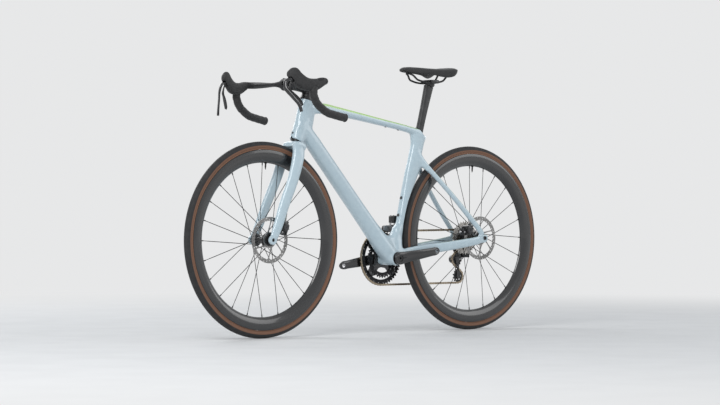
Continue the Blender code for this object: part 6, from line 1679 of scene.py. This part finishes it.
bpy.ops.object.voxel_remesh()
rest = [vertex.co.copy() for vertex in cushion.data.vertices]
firm = cushion.vertex_groups.new(name="glued_to_base")
firm.add([v.index for v in cushion.data.vertices if v.normal.z < 0.1 or v.co.z < 0.9520], 1.0, "REPLACE")
cloth = cushion.modifiers.new("Cloth", "CLOTH")
for setting, value in (("quality", 4), ("mass", 0.3), ("tension_stiffness", 30.0),
                       ("compression_stiffness", 30.0),
                       ("bending_stiffness", 1.5), ("use_pressure", True),
                       ("uniform_pressure_force", 3.0),
                       ("vertex_group_mass", "glued_to_base")):
    setattr(cloth.settings, setting, value)
cloth.settings.effector_weights.gravity = 0.0
scene = bpy.context.scene
for step in range(1, 13):
    scene.frame_set(step)
pick(cushion)
bpy.ops.object.modifier_apply(modifier="Cloth")
scene.frame_set(1)
for vertex, start in zip(cushion.data.vertices, rest):
    moved = vertex.co - start
    if moved.length > MOST_SWELL:
        vertex.co = start + moved.normalized() * MOST_SWELL
cushion.vertex_groups.clear()
bpy.ops.object.mode_set(mode="EDIT")
mesh = bmesh.from_edit_mesh(cushion.data)
for vertex in mesh.verts:
    vertex.select = vertex.co.z > 0.9545 and vertex.normal.z > 0.15
bpy.ops.mesh.vertices_smooth(factor=0.5, repeat=5)
bpy.ops.object.mode_set(mode="OBJECT")
settled(cushion, saddle_cover, "saddle", "saddle_cover", "saddle_cushion", angle=70.0)


def shell_ring(x, half, top, skirt, under):
    """One section of the carbon base, a millimetre below the cushion's hollow."""
    edge = skirt * 0.55 + under * 0.45
    upper = ((0.0, under), (0.20, under), (0.40, under), (0.56, under * 0.7 + edge * 0.3),
             (0.70, edge * 0.84 + under * 0.16))
    high = [(share, z - 0.0012) for share, z in upper]
    low = [(share * 0.97, z - 0.0012 - 0.0020) for share, z in upper]
    ring = [Vector((x, share * half, z)) for share, z in high] + [Vector((x, share * half, z)) for share,
                                                                  z in low[::-1]]
    ring += [Vector((x, -share * half, z)) for share, z in low[1:]] + [Vector((x, -share * half,
                                                                               z)) for share,
                                                                       z in high[:0:-1]]
    return ring


shell = drawn("saddle_base", [shell_ring(*station) for station in fine_stations[6:-6]])
RAILS = (
    (-0.3700, 0.0290, 0.9490), (-0.3560, 0.0250, 0.9330), (-0.3400, 0.0220, 0.9170),
         (-0.3280, 0.0220, 0.9135),
    (-0.2300, 0.0220, 0.9135), (-0.2150, 0.0200, 0.9180), (-0.1980, 0.0130, 0.9340),
         (-0.1850, 0.0060, 0.9395),
)
rail_path = [(x, y, z, 0.0035, 0.0035) for x, y, z in RAILS] + [(x, -y, z, 0.0035, 0.0035) for x, y,
                                                                z in RAILS[::-1]]
cut(shell, tube("rail_space", widened(rail_path, 0.0004), Z_AXIS, 20, 2.0, 6))
settled(shell, bar_carbon, "saddle", "carbon", "saddle_shell", angle=45.0)
rails = tube("rails", rail_path, Z_AXIS, 24, 2.0, 8)
settled(rails, bar_carbon, "saddle", "carbon", "saddle_rails")
clamp_centre = Vector((-0.2960, 0.0, 0.9130))
clamp_block = block("rail_clamp", clamp_centre, (0.0380, 0.0600, 0.0130))
ease(clamp_block, 0.0028, 4, 40.0)
grooves = [rod("groove", Vector((-0.330, y, 0.9135)), Vector((-0.262, y, 0.9135)), 0.0040,
               24) for y in (0.0220, -0.0220)]
cut(clamp_block, united("grooves", *grooves))
cut(clamp_block, block("slot", Vector((-0.2960, 0.0, 0.9100)), (0.060, 0.0300, 0.0130)))
cut(clamp_block, block("split", Vector((-0.2960, 0.0, 0.9135)), (0.060, 0.0900, 0.0007)))
settled(clamp_block, cast_black, "saddle", "anodised", "saddle_clamp", angle=45.0)
clamp_bolts = [bolt("clamp_bolt", Vector((-0.2960, side * 0.0298, 0.9165)), Y_AXIS * side, 0.0034, 0.0018,
                    0.8) for side in (1.0, -1.0)]
settled(united("clamp_bolts", *clamp_bolts), bolt_steel, "saddle", "steel")


# The seatpost
# A moulded carbon post with a blunt aero section that matches the seat tube, matte and bare, its
# trailing face a shade lighter. It slides in the frame and is held by a hidden wedge, under a
# rubber lip that follows the slanted collar.

post_carbon = finish("post_carbon", (0.022, 0.022, 0.023), (0.040, 0.040, 0.041), (0.42, 0.55), 500.0,
                     0.000010)
tree = post_carbon.node_tree
x, y, z = object_axes(tree)
behind = calc(tree, "SUBTRACT", calc(tree, "SUBTRACT", -0.244,
                                     times(tree, calc(tree, "SUBTRACT", z, 0.737), 0.28675)), x)
overlay(post_carbon, fade(tree, behind, 0.0085, 0.0115), (0.085, 0.084, 0.080))
stations = [(*seat_point(z), depth, 0.0112) for z, depth in ((0.600, 0.0142), (0.700, 0.0142),
                                                             (0.790, 0.0142), (0.850, 0.0168),
                                                             (0.885, 0.0188), (0.896, 0.0195))]
post = tube("post", stations, X_AXIS, 40, 2.8, 6)
head = turned("post_head", ((0.0102, -0.0145), (0.0110, -0.0138), (0.0110, 0.0138), (0.0102, 0.0145)),
              Vector((-0.2960, 0.0, 0.9035)), Y_AXIS, 40)
grown(post, head)
ease(post, 0.0010, 2, 50.0)
settled(post, post_carbon, "post", "carbon", "seatpost", angle=50.0)
lip = block("collar_lip", (slope_front + slope_rear) / 2.0 + slope_up * 0.0008 - slope * 0.0020,
            (0.0560, 0.0340, 0.0016), slope, slope_up)
lip_outer = tube("lip_outer", [(*seat_point(z), 0.0172, 0.0140) for z in (0.690, 0.790)], X_AXIS, 40, 2.8, 1)
apply_modifier(lip, "BOOLEAN", object=lip_outer, operation="INTERSECT", solver="EXACT")
bpy.data.objects.remove(lip_outer)
cut(lip, tube("lip_inner", [(*seat_point(z), 0.0145, 0.0115) for z in (0.690, 0.790)], X_AXIS, 40, 2.8, 1))
settled(lip, plug_rubber, "frame", "moulded_black", angle=30.0)


# Floor, light and camera
# A pale studio floor that fades into the background, three wide soft lamps, and a long-lensed
# camera well off to the front left, under half a metre above the floor.


def mixed(tree, share, first, second, output):
    """Blends two shaders by a share and hands the blend to an output node."""
    blend = added(tree, "MixShader")
    for socket, value in zip(blend.inputs, (share, first.outputs[0], second.outputs[0])):
        feed(tree, value, socket)
    feed(tree, blend.outputs[0], tree.nodes[output].inputs["Surface"])


deselect()
bpy.ops.mesh.primitive_circle_add(vertices=96, radius=40.0, fill_type="NGON", location=(0.0, 0.0, 0.0))
floor = bpy.context.object
floor.name = "floor"
BACKDROP = (0.80, 0.805, 0.81)
floor_paint = finish("floor_paint", (0.755, 0.76, 0.765), (0.785, 0.79, 0.795), (0.75, 0.85), 60.0, 0.00002)
tree = floor_paint.node_tree
x, y, z = object_axes(tree)
spread = calc(tree, "SQRT", calc(tree, "ADD", times(tree, x, x), times(tree, y, y)))
shader = tree.nodes["Principled BSDF"]
shader.inputs["Specular IOR Level"].default_value = 0.15
distant = added(tree, "Emission", Color=(*BACKDROP, 1.0))
mixed(tree, fade(tree, spread, 1.4, 4.6), shader, distant, "Material Output")
floor.data.materials.append(floor_paint)

world = bpy.data.worlds.new("studio")
bpy.context.scene.world = world
world.use_nodes = True
tree = world.node_tree
surround = tree.nodes["Background"]
surround.inputs["Color"].default_value = (0.90, 0.95, 1.0, 1.0)
surround.inputs["Strength"].default_value = 0.42
backdrop = added(tree, "Background", Color=(*BACKDROP, 1.0))
rays = added(tree, "LightPath")
seen = calc(tree, "MAXIMUM", rays.outputs["Is Camera Ray"], times(tree, rays.outputs["Is Glossy Ray"], 0.6))
seen = calc(tree, "MAXIMUM", seen, rays.outputs["Is Transmission Ray"])
mixed(tree, seen, surround, backdrop, "World Output")

lamps = (
    ("key_lamp", (4.3, 2.3, 3.5), 3.0, 165.0),
    ("fill_lamp", (-3.6, 3.0, 2.4), 3.0, 42.0),
    ("back_lamp", (0.0, -4.2, 3.2), 3.4, 90.0),
)
for name, spot, size, power in lamps:
    lamp = bpy.data.lights.new(name, "AREA")
    lamp.size = size
    lamp.energy = power
    holder = bpy.data.objects.new(name, lamp)
    bpy.context.scene.collection.objects.link(holder)
    holder.location = spot
    holder.rotation_euler = (Vector((0.0, 0.0, 0.5)) - Vector(spot)).to_track_quat("-Z", "Y").to_euler()

YAW, PITCH, ROLL = -2.30229, 0.00229, 0.00077
camera = bpy.data.objects.new("camera", bpy.data.cameras.new("camera"))
bpy.context.scene.collection.objects.link(camera)
camera.location = (6.02433, 6.65844, 0.44991)
ahead = Vector((math.cos(PITCH) * math.cos(YAW), math.cos(PITCH) * math.sin(YAW), math.sin(PITCH)))
camera.rotation_euler = ahead.to_track_quat("-Z", "Y").to_euler()
camera.rotation_euler.rotate_axis("Z", ROLL)
camera.data.lens = 125.214
camera.data.sensor_width = 36.0
camera.data.clip_end = 200.0
bpy.context.scene.camera = camera
bpy.context.scene.view_settings.view_transform = "Standard"
